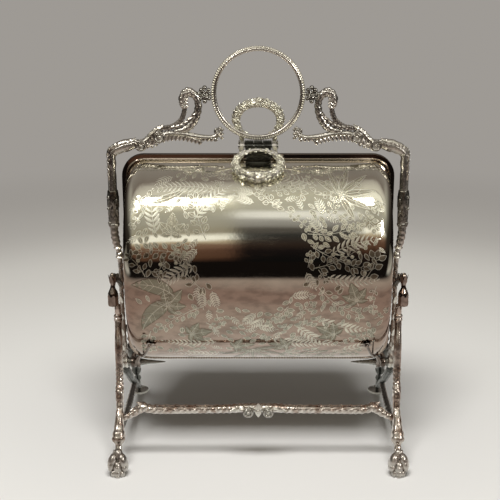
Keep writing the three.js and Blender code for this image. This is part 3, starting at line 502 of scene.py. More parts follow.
def shell_lump():
    """Outer and inner face of a half shell, and the flange that joins them."""
    lump = Lump()
    turns = [radians(-90 + 180 * i / 120) for i in range(121)]
    for inset, flip in ((0.0, False), (WALL, True)):
        profile = drum_profile(inset)
        share = (DRUM_DEEP - inset) / (DRUM_HIGH - inset)
        verts = []
        for turn in turns:
            for x, r in profile:
                y = FLANGE_BACK - r * share * cos(turn) * (1 + FLANGE_BACK / DRUM_DEEP)
                verts.append(V(x, y, CENTRE + r * sin(turn)))
        n = len(profile)
        faces = []
        for i in range(len(turns) - 1):
            for j in range(n - 1):
                a = i * n + j
                quad = (a, a + n, a + n + 1, a + 1)
                faces.append(quad if flip else quad[::-1])
        lump.add(verts, faces)
    outer = rounded_loop(FLANGE_X, FLANGE_Z, FLANGE_CORNER)
    inner = rounded_loop(DRUM_END - WALL, DRUM_HIGH - WALL, FILLET - WALL)
    rings = [[V(x, y, z) for x, z in loop] for loop, y in
             ((outer, FLANGE_BACK), (outer, FLANGE_FRONT), (inner, FLANGE_FRONT), (inner, FLANGE_BACK))]
    lump.rings([list(ring) for ring in zip(*rings)], close=True)
    return lump


def rim_lump():
    """Moulding round the flange: rolled edge, bevelled flat, half-round bead, and pearls along the foot."""
    lump = Lump()
    back = FLANGE_FRONT - 0.1
    section = [(0.0, 0.0), (0.0, 0.5), (0.1, 0.68), (0.3, 0.7), (0.42, 0.45), (2.72, 0.8)]
    for i in range(9):
        a = pi * i / 8
        section.append((3.35 - cos(a) * 0.6, 0.7 + 0.95 * sin(a)))
    section.append((3.97, 0.0))
    rings = []
    for inset, out in section:
        loop = rounded_loop(FLANGE_X - inset, FLANGE_Z - inset, FLANGE_CORNER - inset)
        rings.append([V(x, back - out, z) for x, z in loop])
    lump.rings([list(ring) for ring in zip(*rings)], close=True)
    count = 86
    for i in range(count):
        x = (FLANGE_X - FLANGE_CORNER) * (2 * (i + 0.5) / count - 1)
        lump.ball(V(x, back - 1.0, CENTRE - FLANGE_Z + 0.75), 0.7, rows=5)
    return lump


# Engraving: a wreath of ferns, leaves and berry sprigs laid on the barrel

ARC_STEPS = 720
arc_table = [0.0]
for step in range(ARC_STEPS):
    turn = -pi / 2 + pi * (step + 0.5) / ARC_STEPS
    arc_table.append(arc_table[-1] + pi / ARC_STEPS
                     * hypot(DRUM_DEEP * sin(turn), DRUM_HIGH * cos(turn)))
HALF_ARC = arc_table[-1] / 2


def turn_at(s):
    """Turn on the drum for a length along its section, counted from the widest line."""
    want = min(max(s + HALF_ARC, 0.0), arc_table[-1] - 1e-6)
    low, high = 0, ARC_STEPS
    while high - low > 1:
        middle = (low + high) // 2
        if arc_table[middle] > want:
            high = middle
        else:
            low = middle
    t = (want - arc_table[low]) / (arc_table[low + 1] - arc_table[low])
    return -pi / 2 + pi * (low + t) / ARC_STEPS


def laid(x, s, lift):
    """A point of the engraving's plane, laid on the drum."""
    return on_drum(x, turn_at(s), lift)[0]


class Engraving:
    """Leaves and lines drawn in the plane (x, s) and laid on the drum."""

    def __init__(self, rng):
        self.fill = Lump()
        self.line = Lump()
        self.shade = Lump()
        self.taken = {}
        self.plant = 0
        self.rng = rng

    def free(self, x, s, room):
        """Whether no leaf of another plant comes within room of this spot."""
        i, j = int(x // 6), int(s // 6)
        near = (mark for di in (-1, 0, 1) for dj in (-1, 0, 1) for mark in self.taken.get((i + di, j + dj),
                                                                                          ()))
        return all(plant == self.plant or (x - px) ** 2 + (s - ps) ** 2 > (reach + room) ** 2
                   for px, ps, reach, plant in near)

    def take(self, x, s, reach):
        self.taken.setdefault((int(x // 6), int(s // 6)), []).append((x, s, reach, self.plant))

    def strip(self, points, width, lift=0.16, taper=False, dark=False):
        """A line of the graver, as a flat ribbon."""
        left, right = [], []
        last = len(points) - 1
        for i, (x, s) in enumerate(points):
            (x_before, s_before), (x_after, s_after) = points[max(i - 1, 0)], points[min(i + 1, last)]
            dx, ds = x_after - x_before, s_after - s_before
            size = hypot(dx, ds) or 1.0
            half = width / 2 * ((1 - 0.75 * i / last) if taper else 1)
            nx, ns = -ds / size * half, dx / size * half
            left.append(laid(x + nx, s + ns, lift))
            right.append(laid(x - nx, s - ns, lift))
        verts = left + right
        n = len(left)
        target = self.shade if dark else self.line
        target.add(verts, [(i, i + n, i + n + 1, i + 1) for i in range(n - 1)])

    def blade(self, x, s, angle, length, width, bend=0.0, teeth=0, outline=0.42, veins=0, fine=False):
        """One leaf from its base, along an angle, with a bend and an optional toothed edge."""
        if not self.free(x + cos(angle + bend / 2) * length / 2, s + sin(angle + bend / 2) * length / 2,
                         width * 0.3):
            return
        steps = max(8, teeth * 3)
        centre, left, right = [], [], []
        px, ps, a = x, s, angle
        for i in range(steps + 1):
            t = i / steps
            half = width / 2 * sin(pi * min(1.0, t ** 0.82)) ** 0.9
            if teeth:
                saw = (t * teeth) % 1.0
                half *= 1 + 0.28 * (saw - 0.5)
            centre.append((px, ps))
            nx, ns = -sin(a), cos(a)
            left.append((px + nx * half, ps + ns * half))
            right.append((px - nx * half, ps - ns * half))
            px += cos(a) * length / steps
            ps += sin(a) * length / steps
            a += bend / steps
        verts = []
        for edge, middle, other in zip(left, centre, right):
            verts.extend([laid(*edge, 0.04), laid(*middle, 0.12), laid(*other, 0.04)])
        faces = []
        for i in range(steps):
            k = i * 3
            faces.append((k, k + 1, k + 4, k + 3))
            faces.append((k + 1, k + 2, k + 5, k + 4))
        # small leaves across the dark reflection show as outlines, as a hatched leaf does there: their fill
        # is painted dark, a painted reflection
        hollow = not fine and length < 8 and -9 < s < 22
        (self.line if fine else self.shade if hollow else self.fill).add(verts, faces)
        for share in ((0.5,) if length < 8 else (0.2, 0.4, 0.6, 0.8)):
            self.take(*centre[int(steps * share)], width * 0.42)
        if fine:
            return
        # outlines of big leaves low on the barrel are painted dark, a painted reflection; higher up they are
        # light
        dark = width > 3.6 and s < 8 and not hollow
        self.strip(left, outline, dark=dark)
        self.strip(right, outline, dark=dark)
        if not hollow:
            self.strip(centre, outline * 0.8, lift=0.2)
        for i in range(veins):
            at = centre[int(steps * (0.15 + 0.7 * i / veins))]
            for edges in (right, left):
                edge = edges[min(steps, int(steps * (0.3 + 0.7 * i / veins)))]
                self.strip([at, ((at[0] + edge[0]) / 2, (at[1] + edge[1]) / 2), edge], 0.26, lift=0.2)

    def stem(self, x, s, angle, length, bend, steps):
        """Starts a new plant on a tapering stem, if most of its way is open."""
        self.plant += 1
        points = [(x, s)]
        a = angle
        for _ in range(steps):
            x += cos(a) * length / steps
            s += sin(a) * length / steps
            a += bend / steps
            points.append((x, s))
        if sum(self.free(*point, 1.6) for point in points) < 0.62 * len(points):
            return None, a
        self.strip(points, 0.6, taper=True)
        return points, a

    def fern(self, x, s, angle, length, bend, width, pairs):
        """A frond: narrow leaflets in pairs along a stem."""
        points, end = self.stem(x, s, angle, length, bend, pairs * 2)
        if not points:
            return
        for i in range(pairs):
            t = (i + 0.6) / pairs
            px, ps = points[i * 2 + 1]
            a = angle + bend * t
            size = width * 0.62 * (sin(pi * (0.18 + 0.8 * t)) ** 0.8)
            for side in (-1, 1):
                self.blade(px, ps, a + side * 1.0, size, size * 0.27, bend=-side * 0.45, fine=True)
        self.blade(*points[-1], end, width * 0.25, width * 0.1, fine=True)

    def sprig(self, x, s, angle, length, bend, leaf, pairs, plump, berries):
        """Stalked leaves in pairs along a stem, some of them berries instead."""
        points, end = self.stem(x, s, angle, length, bend, pairs * 3)
        if not points:
            return
        for i in range(pairs):
            px, ps = points[i * 3 + 2]
            a = angle + bend * (i + 0.6) / pairs
            for side in (-1, 1):
                swing = a + side * (0.85 + self.rng.uniform(-0.12, 0.12))
                stalk = leaf * 0.45
                qx, qs = px + cos(swing) * stalk, ps + sin(swing) * stalk
                self.strip([(px, ps), (qx, qs)], 0.3)
                if self.rng.random() < berries:
                    self.berry(qx + cos(swing) * 0.8, qs + sin(swing) * 0.8)
                else:
                    self.blade(qx, qs, swing, leaf, leaf * plump, bend=-side * 0.2)
        self.blade(*points[-1], end, leaf, leaf * plump)

    def berry(self, x, s):
        radius, sides = 1.25, 10
        turns = [tau * k / sides for k in range(sides)]
        ring = [(x + cos(a) * radius, s + sin(a) * radius) for a in turns]
        self.fill.add([laid(x, s, 0.22)] + [laid(px, ps, 0.05) for px, ps in ring],
                      [(0, k + 1, (k + 1) % sides + 1) for k in range(sides)])
        self.strip(ring + ring[:1], 0.28, lift=0.14)

    def lobed(self, x, s, angle, size):
        """A five-lobed vine leaf on a short stalk."""
        self.plant += 1
        qx, qs = x + cos(angle) * size * 0.25, s + sin(angle) * size * 0.25
        self.strip([(x, s), (qx, qs)], 0.45)
        for swing, share in ((0, 1.0), (0.85, 0.78), (-0.85, 0.78), (1.75, 0.5), (-1.75, 0.5)):
            self.blade(qx, qs, angle + swing, size * share, size * share * 0.52, teeth=4,
                       veins=2 if share > 0.7 else 0)

    def star(self, x, s, angle, size):
        """Long pointed leaves that fan out from one point."""
        self.plant += 1
        petals = 7
        for i in range(petals):
            off = i / (petals - 1) - 0.5
            reach = size * (0.72 + 0.28 * cos(2.2 * off))
            self.blade(x, s, angle + 3.4 * off, reach, reach * 0.2, bend=0.3 * off, veins=2)


def engraving(rng):
    """A wreath in an oval band round the clear middle of the barrel."""
    art = Engraving(rng)
    # big leaves set round the band, each pointing along it
    for x, s, angle, size in ((-66, -22, 0.9, 17), (-52, -44, 0.2, 16), (58, -46, 2.6, 16),
                              (70, -18, 1.9, 15),
                              (-60, 30, 1.5, 15), (24, -58, 2.9, 14), (-20, -60, 0.3, 15)):
        art.lobed(x, s, angle, size)
    for x, s, angle, size in ((56, 62, 0.7, 26), (-4, -62, -1.57, 26)):
        art.star(x, s, angle, size)
    # broad smooth leaves, left and low
    for x, s, angle, length, width, bend in (
            (-58, -10, 2.5, 32, 11, 0.9), (-60, -14, 3.6, 34, 12, 0.9), (-56, -8, -0.9, 30, 9, -0.4),
            (-74, 56, 0.2, 26, 6, 0.5), (30, -70, 0.1, 22, 8, 0.4)):
        art.plant += 1
        art.blade(x, s, angle, length, width, bend=bend, outline=0.5, veins=4)
    # ferns that cross the band
    for x, s, angle, length, bend in (
            (-30, 66, 2.9, 44, 0.5), (-44, 44, 1.0, 34, -0.4), (-46, 40, 2.4, 36, 0.5),
                                      (-42, 18, 2.6, 34, -0.4),
            (-44, 12, 3.5, 30, 0.4), (-34, -30, 2.7, 40, 0.5), (-30, -52, 3.3, 38, -0.4),
                                      (-28, -72, 2.9, 32, 0.4),
            (10, -48, -0.4, 38, 0.5), (28, -36, -0.9, 36, 0.6), (44, -30, -0.5, 34, 0.5),
                                      (48, 4, -0.3, 34, 0.5),
            (50, 20, 0.5, 34, -0.4), (40, 44, 0.6, 40, 0.4), (30, 60, 0.5, 36, -0.3), (36, 70, 2.6, 26, 0.4),
            (-10, -74, 0.2, 30, 0.3), (66, 40, 1.2, 26, 0.4), (60, -62, 0.2, 24, 0.5),
                                      (-70, 34, 1.9, 24, -0.4)):
        art.fern(x, s, angle, length, bend=bend, width=rng.uniform(9.5, 12.5), pairs=int(length / 3.1))
    # berry and leaf sprigs
    for x, s, angle, length, bend in (
            (34, 34, -0.1, 36, 0.5), (36, 26, -0.6, 40, 0.4), (38, 10, 0.2, 38, 0.5), (42, -4, -0.9, 36, 0.5),
            (40, -14, 0.0, 36, -0.5), (36, -22, -1.1, 34, 0.5), (52, 50, 0.3, 30, 0.6),
                                      (60, 14, 1.2, 26, -0.5),
            (-40, 52, 2.2, 34, 0.5), (-36, 30, 2.0, 30, -0.4), (-52, 20, 2.9, 30, 0.4),
                                      (-40, -4, 2.4, 30, -0.5),
            (-38, -18, 3.5, 34, 0.4), (-18, -40, 3.9, 32, -0.4), (0, -44, 4.2, 30, 0.5),
                                      (14, -50, 5.0, 30, 0.4),
            (72, 0, 0.9, 20, 0.4), (-78, 4, 2.0, 18, 0.5), (-22, 74, 0.2, 24, -0.5), (8, 72, 0.3, 26, 0.3),
            (20, -64, 5.6, 26, 0.4), (-44, -60, 3.8, 26, 0.4), (70, -36, 5.3, 24, 0.4),
                                      (-76, -40, 4.4, 22, 0.4)):
        art.sprig(x, s, angle, length, bend=bend, leaf=rng.uniform(4.2, 5.8), pairs=int(length / 5.4),
                  plump=rng.uniform(0.5, 0.7), berries=0.3)

    def banded(x, s):
        """Outside the clear middle and inside the edge."""
        inside = ((x + 3) / 37) ** 2 + ((s - 18) / 38) ** 2
        outside = (abs(x) / 85) ** 4 + (abs(s) / 84) ** 4
        return inside > 1 and outside < 1

    # smaller sprays fill what the large ones leave open
    for size, tries in ((13, 320), (9, 800), (5.5, 1600)):
        for _ in range(tries):
            x, s = rng.uniform(-84, 84), rng.uniform(-82, 82)
            art.plant += 1
            sparse = s < 0 and rng.random() < (0.9 if x < -56 else 0.35)
            if sparse or not banded(x, s) or not art.free(x, s, size * 0.3):
                continue
            angle = atan2(s - 14, x + 3) + rng.choice((-1, 1)) * rng.uniform(0.7, 1.7)
            kind = rng.random()
            if size < 7:
                art.blade(x, s, angle, size, size * rng.uniform(0.35, 0.6), bend=rng.uniform(-0.4, 0.4))
            elif (x < 6 and kind < 0.62) or kind < 0.25:
                art.fern(x, s, angle, size, bend=rng.uniform(-0.6, 0.6), width=size * 0.62,
                         pairs=max(4, int(size / 1.8)))
            else:
                art.sprig(x, s, angle, size, bend=rng.uniform(-0.5, 0.5), leaf=size * 0.32,
                          pairs=max(2, int(size / 4)), plump=rng.uniform(0.55, 0.75), berries=0.25)
    # a garland of small leaves that closes the band towards the flange
    art.plant += 1
    for side in (-1, 1):
        points = [(side * (86 - 66 * i / 60), 86.5 - 5 * (i / 60) ** 2) for i in range(61)]
        # a wide dark strip along it: painted shade under the rim
        art.strip([(x, s + 0.6) for x, s in points], 3.6, dark=True, lift=0.03)
        art.strip([(x, s - 1.9) for x, s in points], 0.6)
        for i, (x, s) in enumerate(points[::3]):
            art.plant += 1
            art.blade(x, s + 1.4, -1.57 + side * (0.5 if i % 2 else -0.3), 3.6, 2.3, fine=bool(i % 2))
    return art


def placed(lump, rear):
    """The shape as made, at the front, or its mirror image at the back."""
    return lump.mirrored(1) if rear else lump


def build_half(half):
    """Shell, rim and engraving of one half; the rear half has another draw of the same ornament."""
    rear = half == "rear"
    body = f"{half}_half"
    placed(shell_lump(), rear).object(f"{half}_shell_polished", body, polished, [f"{half}_shell"],
                              "polished_silver", sharp=30, weld=True)
    placed(rim_lump(), rear).object(f"{half}_rim_beaded", body, rim_plate, [f"{half}_rim"], "polished_silver")
    art = engraving(random.Random(11 if rear else 5))
    for marks, name, material in ((art.fill, "leaves", engraved), (art.line, "lines", cut_line),
                                  (art.shade, "outlines", deep_line)):
        placed(marks, rear).object(f"{half}_engraved_{name}", body, material, slot="polished_silver",
                                   sharp=80)


build_half("front")
build_half("rear")


# Handle hardware

def bracket_lump():
    """Three ribbed barrels on a curved plate that stands on the rim."""
    lump = Lump()
    for start, stop in ((-9.6, -3.4), (-3.0, 3.0), (3.4, 9.6)):
        profile = [(0.3, 0.0), (1.55, 0.0), (1.78, 0.25)]
        length = stop - start
        profile += [(1.78 - 0.22 * (i % 2), 0.25 + (length - 0.5) * i / 6) for i in range(1, 6)]
        profile += [(1.78, length - 0.25), (1.55, length), (0.3, length)]
        lump.lathe(profile, V(start, -HANDLE_Y, HANDLE_Z), V(1, 0, 0), sides=24)
    face = smooth_path([(-3.75, 215.6), (-3.75, 219.4), (-5.45, 225.8)], 6)
    section = face + [(y - 1.45, z - 0.1) for y, z in face[::-1]]
    lump.rings([[V(x, y, z) for y, z in section] for x in range(-9, 10)])
    # two small beads that trim the foot of the bracket
    for x in (-8.2, 8.2):
        lump.ball(V(x, -5.4, 217.4), (1.0, 0.8, 1.0))
    return lump


def wreath_lump(rng):
    """A cast garland of leaves and small flowers, upright over its axis, thin where it is hinged."""
    lump, dark = Lump(), Lump()
    half_x, half_z = 38.5 / 2, 30.5 / 2
    barrel, gap = 1.8, 0.4
    centre_z = barrel + gap + half_z

    def thickness(angle):
        return 7.4 - 4.4 * ((1 - sin(angle)) / 2) ** 3

    def spot(angle):
        inset = thickness(angle) / 2
        return V(cos(angle) * (half_x - inset), 0, centre_z + sin(angle) * (half_z - inset))

    def ahead(angle, side=1):
        """The way along the garland, and straight out from its middle line."""
        tangent = (spot(angle + 0.02 * side) - spot(angle - 0.02 * side)).normalized()
        return tangent, tangent.cross(V(0, 1, 0)).normalized()

    core = []
    steps = 72
    for i in range(steps):
        a = tau * i / steps
        out = ahead(a)[1]
        reach = thickness(a) * 0.36
        core.append([spot(a) + way * reach for way in spread(12, out, V(0, 1, 0))])
    dark.rings(core, close=True)
    groups = 15
    for side in (-1, 1):
        for g in range(groups):
            # from the hinge at the foot up to the crown on both sides
            a = -pi / 2 + side * pi * (g + 0.4) / groups
            thick = thickness(a)
            tangent, out = ahead(a, side)
            count = 7 if thick > 5 else 4
            for k in range(count):
                around = tau * (k + 0.5 * (g % 2) + rng.uniform(-0.22, 0.22)) / count
                radial = (out * cos(around) + V(0, 1, 0) * sin(around)).normalized()
                base = spot(a) + radial * thick * 0.3
                size = thick * rng.uniform(0.44, 0.62)
                lump.leaf(base, tangent + radial * rng.uniform(0.22, 0.42), radial, size, size * 0.6, 0.95,
                          curl=-0.1, lobes=1, rows=6, cols=4, bite=0.1)
            if g % 2 and thick > 4.5:
                # a small five-petalled flower on the front and on the back
                for face in (-1, 1):
                    middle = spot(a + rng.uniform(-0.04, 0.04)) + V(0, face * thick * 0.38, 0)
                    for k in range(5):
                        turn = tau * (k / 5) + g
                        petal = middle + V(cos(turn) * 1.5, 0, sin(turn) * 1.5)
                        lump.ball(petal, (0.95, 0.55, 0.95), rows=5)
                    lump.ball(middle + V(0, face * 0.4, 0), (0.7, 0.55, 0.7), rows=5)
    for side in (-1, 1):
        dark.lathe([(0.9, 0), (1.75, 0), (1.85, 0.4), (1.85, 2.6), (1.75, 3.0), (0.9, 3.0)],
                   V(side * 11.5 - 1.5, 0, 0), V(1, 0, 0), sides=20)
        dark.tube([V(side * 11.5, 0, 1.0), V(side * 11.8, 0, 4), V(side * 12.2, 0, 7)], [1.4, 1.6, 1.8],
                  sides=12, per=4)
        for face in (-1, 1):
            lump.leaf(V(side * 11.5, face * 1.1, 1.5), V(side * 0.25, face * 0.2, 1), V(0, face, 0), 5.5, 3.6,
                      0.9, curl=0.4)
    return lump, dark


for half in ("front", "rear"):
    rear = half == "rear"
    placed(bracket_lump(), rear).object(f"{half}_bracket_barrels", f"{half}_half", darkest,
                                        [f"{half}_handle_bracket"], "polished_silver")
    wreath, core = wreath_lump(random.Random(3 if rear else 4))
    lean = Matrix.Rotation(0.0 if rear else radians(WREATH_HANG), 4, "X")
    place = Matrix.Translation(V(0, HANDLE_Y if rear else -HANDLE_Y, HANDLE_Z))
    wreath.moved(place @ lean).object(f"{half}_wreath_laurel", f"{half}_handle", wreath_metal,
                                      [f"{half}_wreath_handle"], "wreath_silver")
    # the core, seen between the leaves, is in a duller darker metal: painted shade between the leaves; the
    # hinge knuckles share it
    core.moved(place @ lean).object(f"{half}_wreath_core", f"{half}_handle", scroll_face,
                                    slot="wreath_silver")


# Ring handle with a pearled edge

def around_ring(reach, radius, sides):
    """Rings for a closed tube that runs round the handle, reach outside its middle line."""
    turns = [tau * k / sides for k in range(sides)]
    return [[V(0, 0, RING_Z) + out * (RING_R + reach + radius * cos(a)) + V(0, radius * sin(a), 0)
             for a in turns] for out in spread(160, V(1, 0, 0), V(0, 0, 1))]


def ring_lump():
    """Pearls round the outside of the tube, each turned to face outwards."""
    lump = Lump()
    beads = 122
    for i, out in enumerate(spread(beads, V(1, 0, 0), V(0, 0, 1))):
        lump.ball(V(0, 0, RING_Z) + out * (RING_R + 0.3), (1.33, 1.66, 0.74), sides=10,
                  turn=Matrix.Rotation(-tau * i / beads, 3, "Y"))
    return lump


def ring_core_lump():
    """The plain tube and the smooth inner band that the pearls sit on."""
    lump = Lump()
    lump.rings(around_ring(0.1, 1.12, 12), close=True)
    lump.rings(around_ring(-1.05, 1.3, 20), close=True)
    return lump


ring_core_lump().object("ring_handle_band", "frame", cast, slot="polished_silver")
ring_lump().object("ring_handle_milled", "frame", ring_metal, ["ring_handle"], "polished_silver")


# Frame, right-hand side, each mirrored to the left

def pair(lump, name, material, node, body="frame", slot="cast_silver"):
    """A piece on the right and its mirror image on the left, each in place of its node."""
    lump.object(f"{name}_right", body, material, [f"{node}_right"], slot)
    lump.mirrored(0).object(f"{name}_left", body, material, [f"{node}_left"], slot)


def leafy(pitch, deep, veins=3):
    """Radius pattern of overlapping cast leaves along a tube."""
    def pattern(run, a):
        sweep = sin(tau * run / pitch + 2.2 * abs(sin(a)))
        vein = cos(2 * veins * a)
        return 1 + deep * sweep * (0.6 + 0.4 * vein) + deep * 0.7 * vein
    return pattern


def arm_place(x, z, y=0.0):
    """A point on a top arm: x as a share of the way out to the upright, z of the way up."""
    return V(x * POLE_X, y, ARM_BASE + z * ARM_RISE)


def arm(rows):
    """Points and radii for a tube of the arm."""
    return [arm_place(x, z) for x, z, _ in rows], [r * ARM_R for _, _, r in rows]


def cast_bar(first, last, rows, thick, detail, sides=14, per=10):
    """A tube between two points; each row has the share of the way in x, y and z, and of the radius."""
    points = [V(*(a + (b - a) * s for a, b, s in zip(first, last, row))) for row in rows]
    lump = Lump()
    lump.tube(points, [thick * row[3] for row in rows], sides=sides, per=per, flat=(1, 0, 0), detail=detail)
    return lump, points


def upright_lump():
    """A slim twisted stem from the pivot that bends out and thickens to the shoulder."""
    lump = Lump()
    # shares of the way out and up from the pivot to the shoulder, and of the radius
    shares = [(0, 0.012, 0.9), (0.05, 0.13, 0.6), (0.16, 0.3, 0.54), (0.12, 0.42, 0.54), (0.17, 0.5, 0.56),
              (0.22, 0.53, 0.86), (0.4, 0.55, 0.6), (0.72, 0.59, 0.9), (1, 0.655, 0.95), (1, 0.82, 1),
              (1, 1, 1)]
    span, rise = POLE_X - PIVOT_X, POLE_Z - PIVOT_Z
    points = [V(PIVOT_X + x * span, 0, PIVOT_Z + z * rise) for x, z, _ in shares]
    radii = [r * 3.1 for _, _, r in shares]

    def pattern(run, a):
        if run < 78:
            return 1 + 0.1 * sin(run * 1.1 + 2 * sin(a * 2)) + 0.06 * cos(3 * a)
        if run < 104:
            return 1 + 0.08 * sin(run * 1.7) * cos(2 * a)
        if run < 146:
            return 1 + 0.02 * cos(2 * a)
        return 1 + 0.12 * sin(run * 2.3 + 1.5 * sin(2 * a)) * (0.6 + 0.4 * cos(3 * a))

    lump.tube(points, radii, sides=20, per=14, detail=pattern)
    # the boss round the pivot
    lump.lathe([(2.0, 0), (4.1, 0), (4.6, 0.5), (4.6, 1.4), (4.2, 1.8), (4.2, 3.0), (4.6, 3.4), (4.6, 4.3),
                (4.1, 4.8), (2.0, 4.8)], V(PIVOT_X - 2.4, 0, PIVOT_Z), V(1, 0, 0), sides=28)
    # small bright beads and buds on the stem
    for z, size, x in ((141.5, 2.9, 102.5), (148.8, 3.3, 103.4)):
        lump.lathe([(0.5, -1.2), (size * 0.8, -0.9), (size, 0), (size * 0.8, 0.9), (0.5, 1.2)], V(x, 0, z),
                   V(0.02, 0, 1), sides=20)
    for k in range(5):
        z = 66 + k * 13
        for side in (-1, 1):
            lump.leaf(V(101.5 + k * 0.15, side * 1.0, z), V(0.1, side * 0.35, 1), V(0.3, side * 1.0, 0), 8.5,
                      3.2, 0.8, curl=0.6, **SMALL_LEAF)
    # leaves that climb the shoulder end of the upright
    for k in range(4):
        for side in (-1, 1):
            lump.leaf(V(POLE_X + 1.8, side * 1.4, 199 + k * 4.6), V(0.12, side * 0.1, 1), V(1, side * 0.6, 0),
                      7.2, 3.4, 0.8, curl=0.5, **SMALL_LEAF)
    return lump


def leaf_cup_lump():
    """A calyx of leaves round the upright, with buds that stand out from it."""
    lump = Lump()
    base = V(POLE_X, 0, CUP_Z)
    profile = [(3.2, 0), (3.7, 0.1), (4.0, 2.1), (3.2, 3.6), (3.4, 9), (4.0, 15), (4.3, 20), (4.0, 24),
               (3.6, 27), (3.3, 27)]
    lump.lathe([(r, d) for r, d, *_ in smooth_path([p + (0,) for p in profile], 4)], base, V(0, 0, 1),
               sides=28, wave=lambda d, a: 1 + 0.05 * cos(6 * a) * sin(d * 0.3))
    for row, (z, size, curl) in enumerate(((1.5, 9.5, 0.15), (8.0, 9.0, 0.1), (14.5, 8.5, 0.05))):
        for out in spread(6, V(1, 0, 0), V(0, 1, 0), 0.5 * (row % 2)):
            lump.leaf(base + out * (2.7 + 0.3 * row) + V(0, 0, z), V(0, 0, 1) + out * 0.08, out, size, 4.2,
                      1.1, curl=curl, **MID_LEAF)
    for z, x, size in ((22.5, 1.6, 1.7), (14.0, 2.6, 1.4), (3.2, 1.4, 1.5)):
        lump.ball(base + V(2.0 + x * 0.4, -2.2, z), (size, size, size * 0.85), sides=10)
        lump.ball(base + V(-2.6, -2.6, z - 2), (size * 0.7, size * 0.7, size * 0.7), rows=5)
    return lump


# shares of the way from the paw to the top of the front leg, and of its radius
LEG = [(0, 0.08, 0.1, 1.0), (0.1, 0.17, 0.145, 1.0), (0.13, 0.2, 0.168, 1.0), (0.15, 0.22, 0.182, 1.55),
       (0.17, 0.24, 0.2, 1.95), (0.2, 0.29, 0.23, 1.8), (0.24, 0.36, 0.265, 1.4), (0.32, 0.55, 0.34, 1.1),
       (0.38, 0.61, 0.39, 1.1), (0.45, 0.66, 0.45, 1.25), (0.51, 0.74, 0.515, 1.06), (0.62, 0.81, 0.62, 1.12),
       (0.75, 0.86, 0.75, 1.12), (0.87, 0.95, 0.86, 1.0), (0.92, 0.99, 0.925, 1.15), (0.95, 1, 0.95, 0.85),
       (1, 1, 1, 0.85)]


def leg_place(x, y, z):
    """A point on a front leg, in shares of its three extents."""
    return V(FOOT_X + 1.8 * x, PAW_Y + 43 * y, LEG_TOP * z)


def leg_lump():
    """A front leg: a curved stem with a knuckle, a node and a collar of leaves."""
    lump = Lump()

    def pattern(run, a):
        if run < 14:
            return 1 + 0.05 * cos(3 * a)
        if run < 48:
            return 1 + 0.05 * cos(5 * a) + 0.04 * sin(run * 1.2)
        if run < 66:
            return 1 + 0.09 * sin(run * 1.9 + 2 * sin(a * 2))
        if run < 100:
            return 1 + 0.015 * sin(run * 0.8)
        return 1 + 0.12 * sin(run * 2.2 + 2 * sin(2 * a))

    lump.tube([leg_place(x, y, z) for x, y, z, _ in LEG], [r * 2.5 for *_, r in LEG], sides=20, per=12,
              flat=(1, 0, 0), detail=pattern)
    knee = leg_place(0.235, 0.35, 0.262)
    # leaves that lie on the upper side of the knuckle, and a bead at its front
    for out in spread(6, V(0, -1, 0), V(1, 0, 0), 0.5):
        lump.leaf(knee + out * 3.0 + V(0, 0.2, 0.6), V(0, 0.35, 1) - out * 0.1, out + V(0, 0, 0.1), 8, 2.8,
                  0.5, curl=0.1, **MID_LEAF)
    lump.ball(knee + V(0, -3.1, 2.6), (0.9, 0.6, 0.9), rows=5)
    node = leg_place(0.45, 0.66, 0.45)
    for out in spread(6, V(0, -1, 0), V(1, 0, 0)):
        for z, way in ((-5.5, 1), (5.5, -1)):
            lump.leaf(node + out * 2.2 + V(0, z * 0.35, z), V(0, 0.35 * way, way), out, 6.5, 3.0, 0.6,
                      curl=0.3, **SMALL_LEAF)
    collar = leg_place(0.92, 0.99, 0.925)
    lump.lathe([(1.8, -1.6), (2.8, -1.3), (3.2, 0), (2.8, 1.3), (1.8, 1.6)], collar, V(0, 0.1, 1), sides=24)
    for out in spread(5, V(0, -1, 0), V(1, 0, 0)):
        lump.leaf(collar + out * 1.8 + V(0, 0, 1.2), V(0, 0, 1), out, 7, 3.0, 0.6, curl=0.4, **SMALL_LEAF)
    return lump


def paw_lump():
    """A lion-like paw: knuckled toes, fur at the ankle, flat underneath."""
    lump = Lump()
    foot = V(FOOT_X, PAW_Y, 0)
    # rounded lobes: centre, radii and sideways lean in degrees
    lobes = (((0, 2.4, 7.5), (4.8, 5.2, 7.4), 0), ((0, 1.2, 15.0), (3.3, 3.5, 4.6), 0),
             # a broad lobe on each side, a middle toe with its knuckle, and short claws that point down
             ((-3.9, -1.0, 10.2), (3.4, 4.6, 7.0), 13), ((3.9, -1.0, 10.2), (3.4, 4.6, 7.0), -13),
             ((-4.6, -3.4, 7.0), (2.2, 2.7, 2.9), 20), ((4.4, -3.6, 8.4), (2.1, 2.6, 4.4), -16),
             ((0, -3.8, 6.6), (3.1, 3.2, 5.4), 0), ((-0.3, -5.2, 7.6), (2.0, 2.2, 2.0), 0),
             ((0.2, -5.0, 3.4), (2.4, 2.3, 2.6), 0), ((-3.0, -3.4, 2.6), (1.9, 2.4, 2.6), 20),
             ((3.0, -3.4, 2.6), (1.9, 2.4, 2.6), -20), ((0, -5.2, 1.2), (1.8, 1.7, 1.3), 0))
    for centre, size, lean in lobes:
        part = Lump()
        part.ball(centre, size, rows=12, sides=18, turn=Matrix.Rotation(radians(lean), 3, "Y"))
        for v in part.verts:
            # cut flat at the table
            v.z = max(v.z, 0.0)
            v += foot
        lump.join(part)
    for k in range(7):
        a = radians(-135 + 270 * k / 6)
        out = V(sin(a), -cos(a), 0)
        lump.leaf(foot + out * 2.4 + V(0, 1.0, 18.6), out * 0.45 - V(0, 0, 1), out + V(0, 0, 0.3), 5.2, 2.8,
                  0.5, curl=-0.2, **MID_LEAF)
    return lump


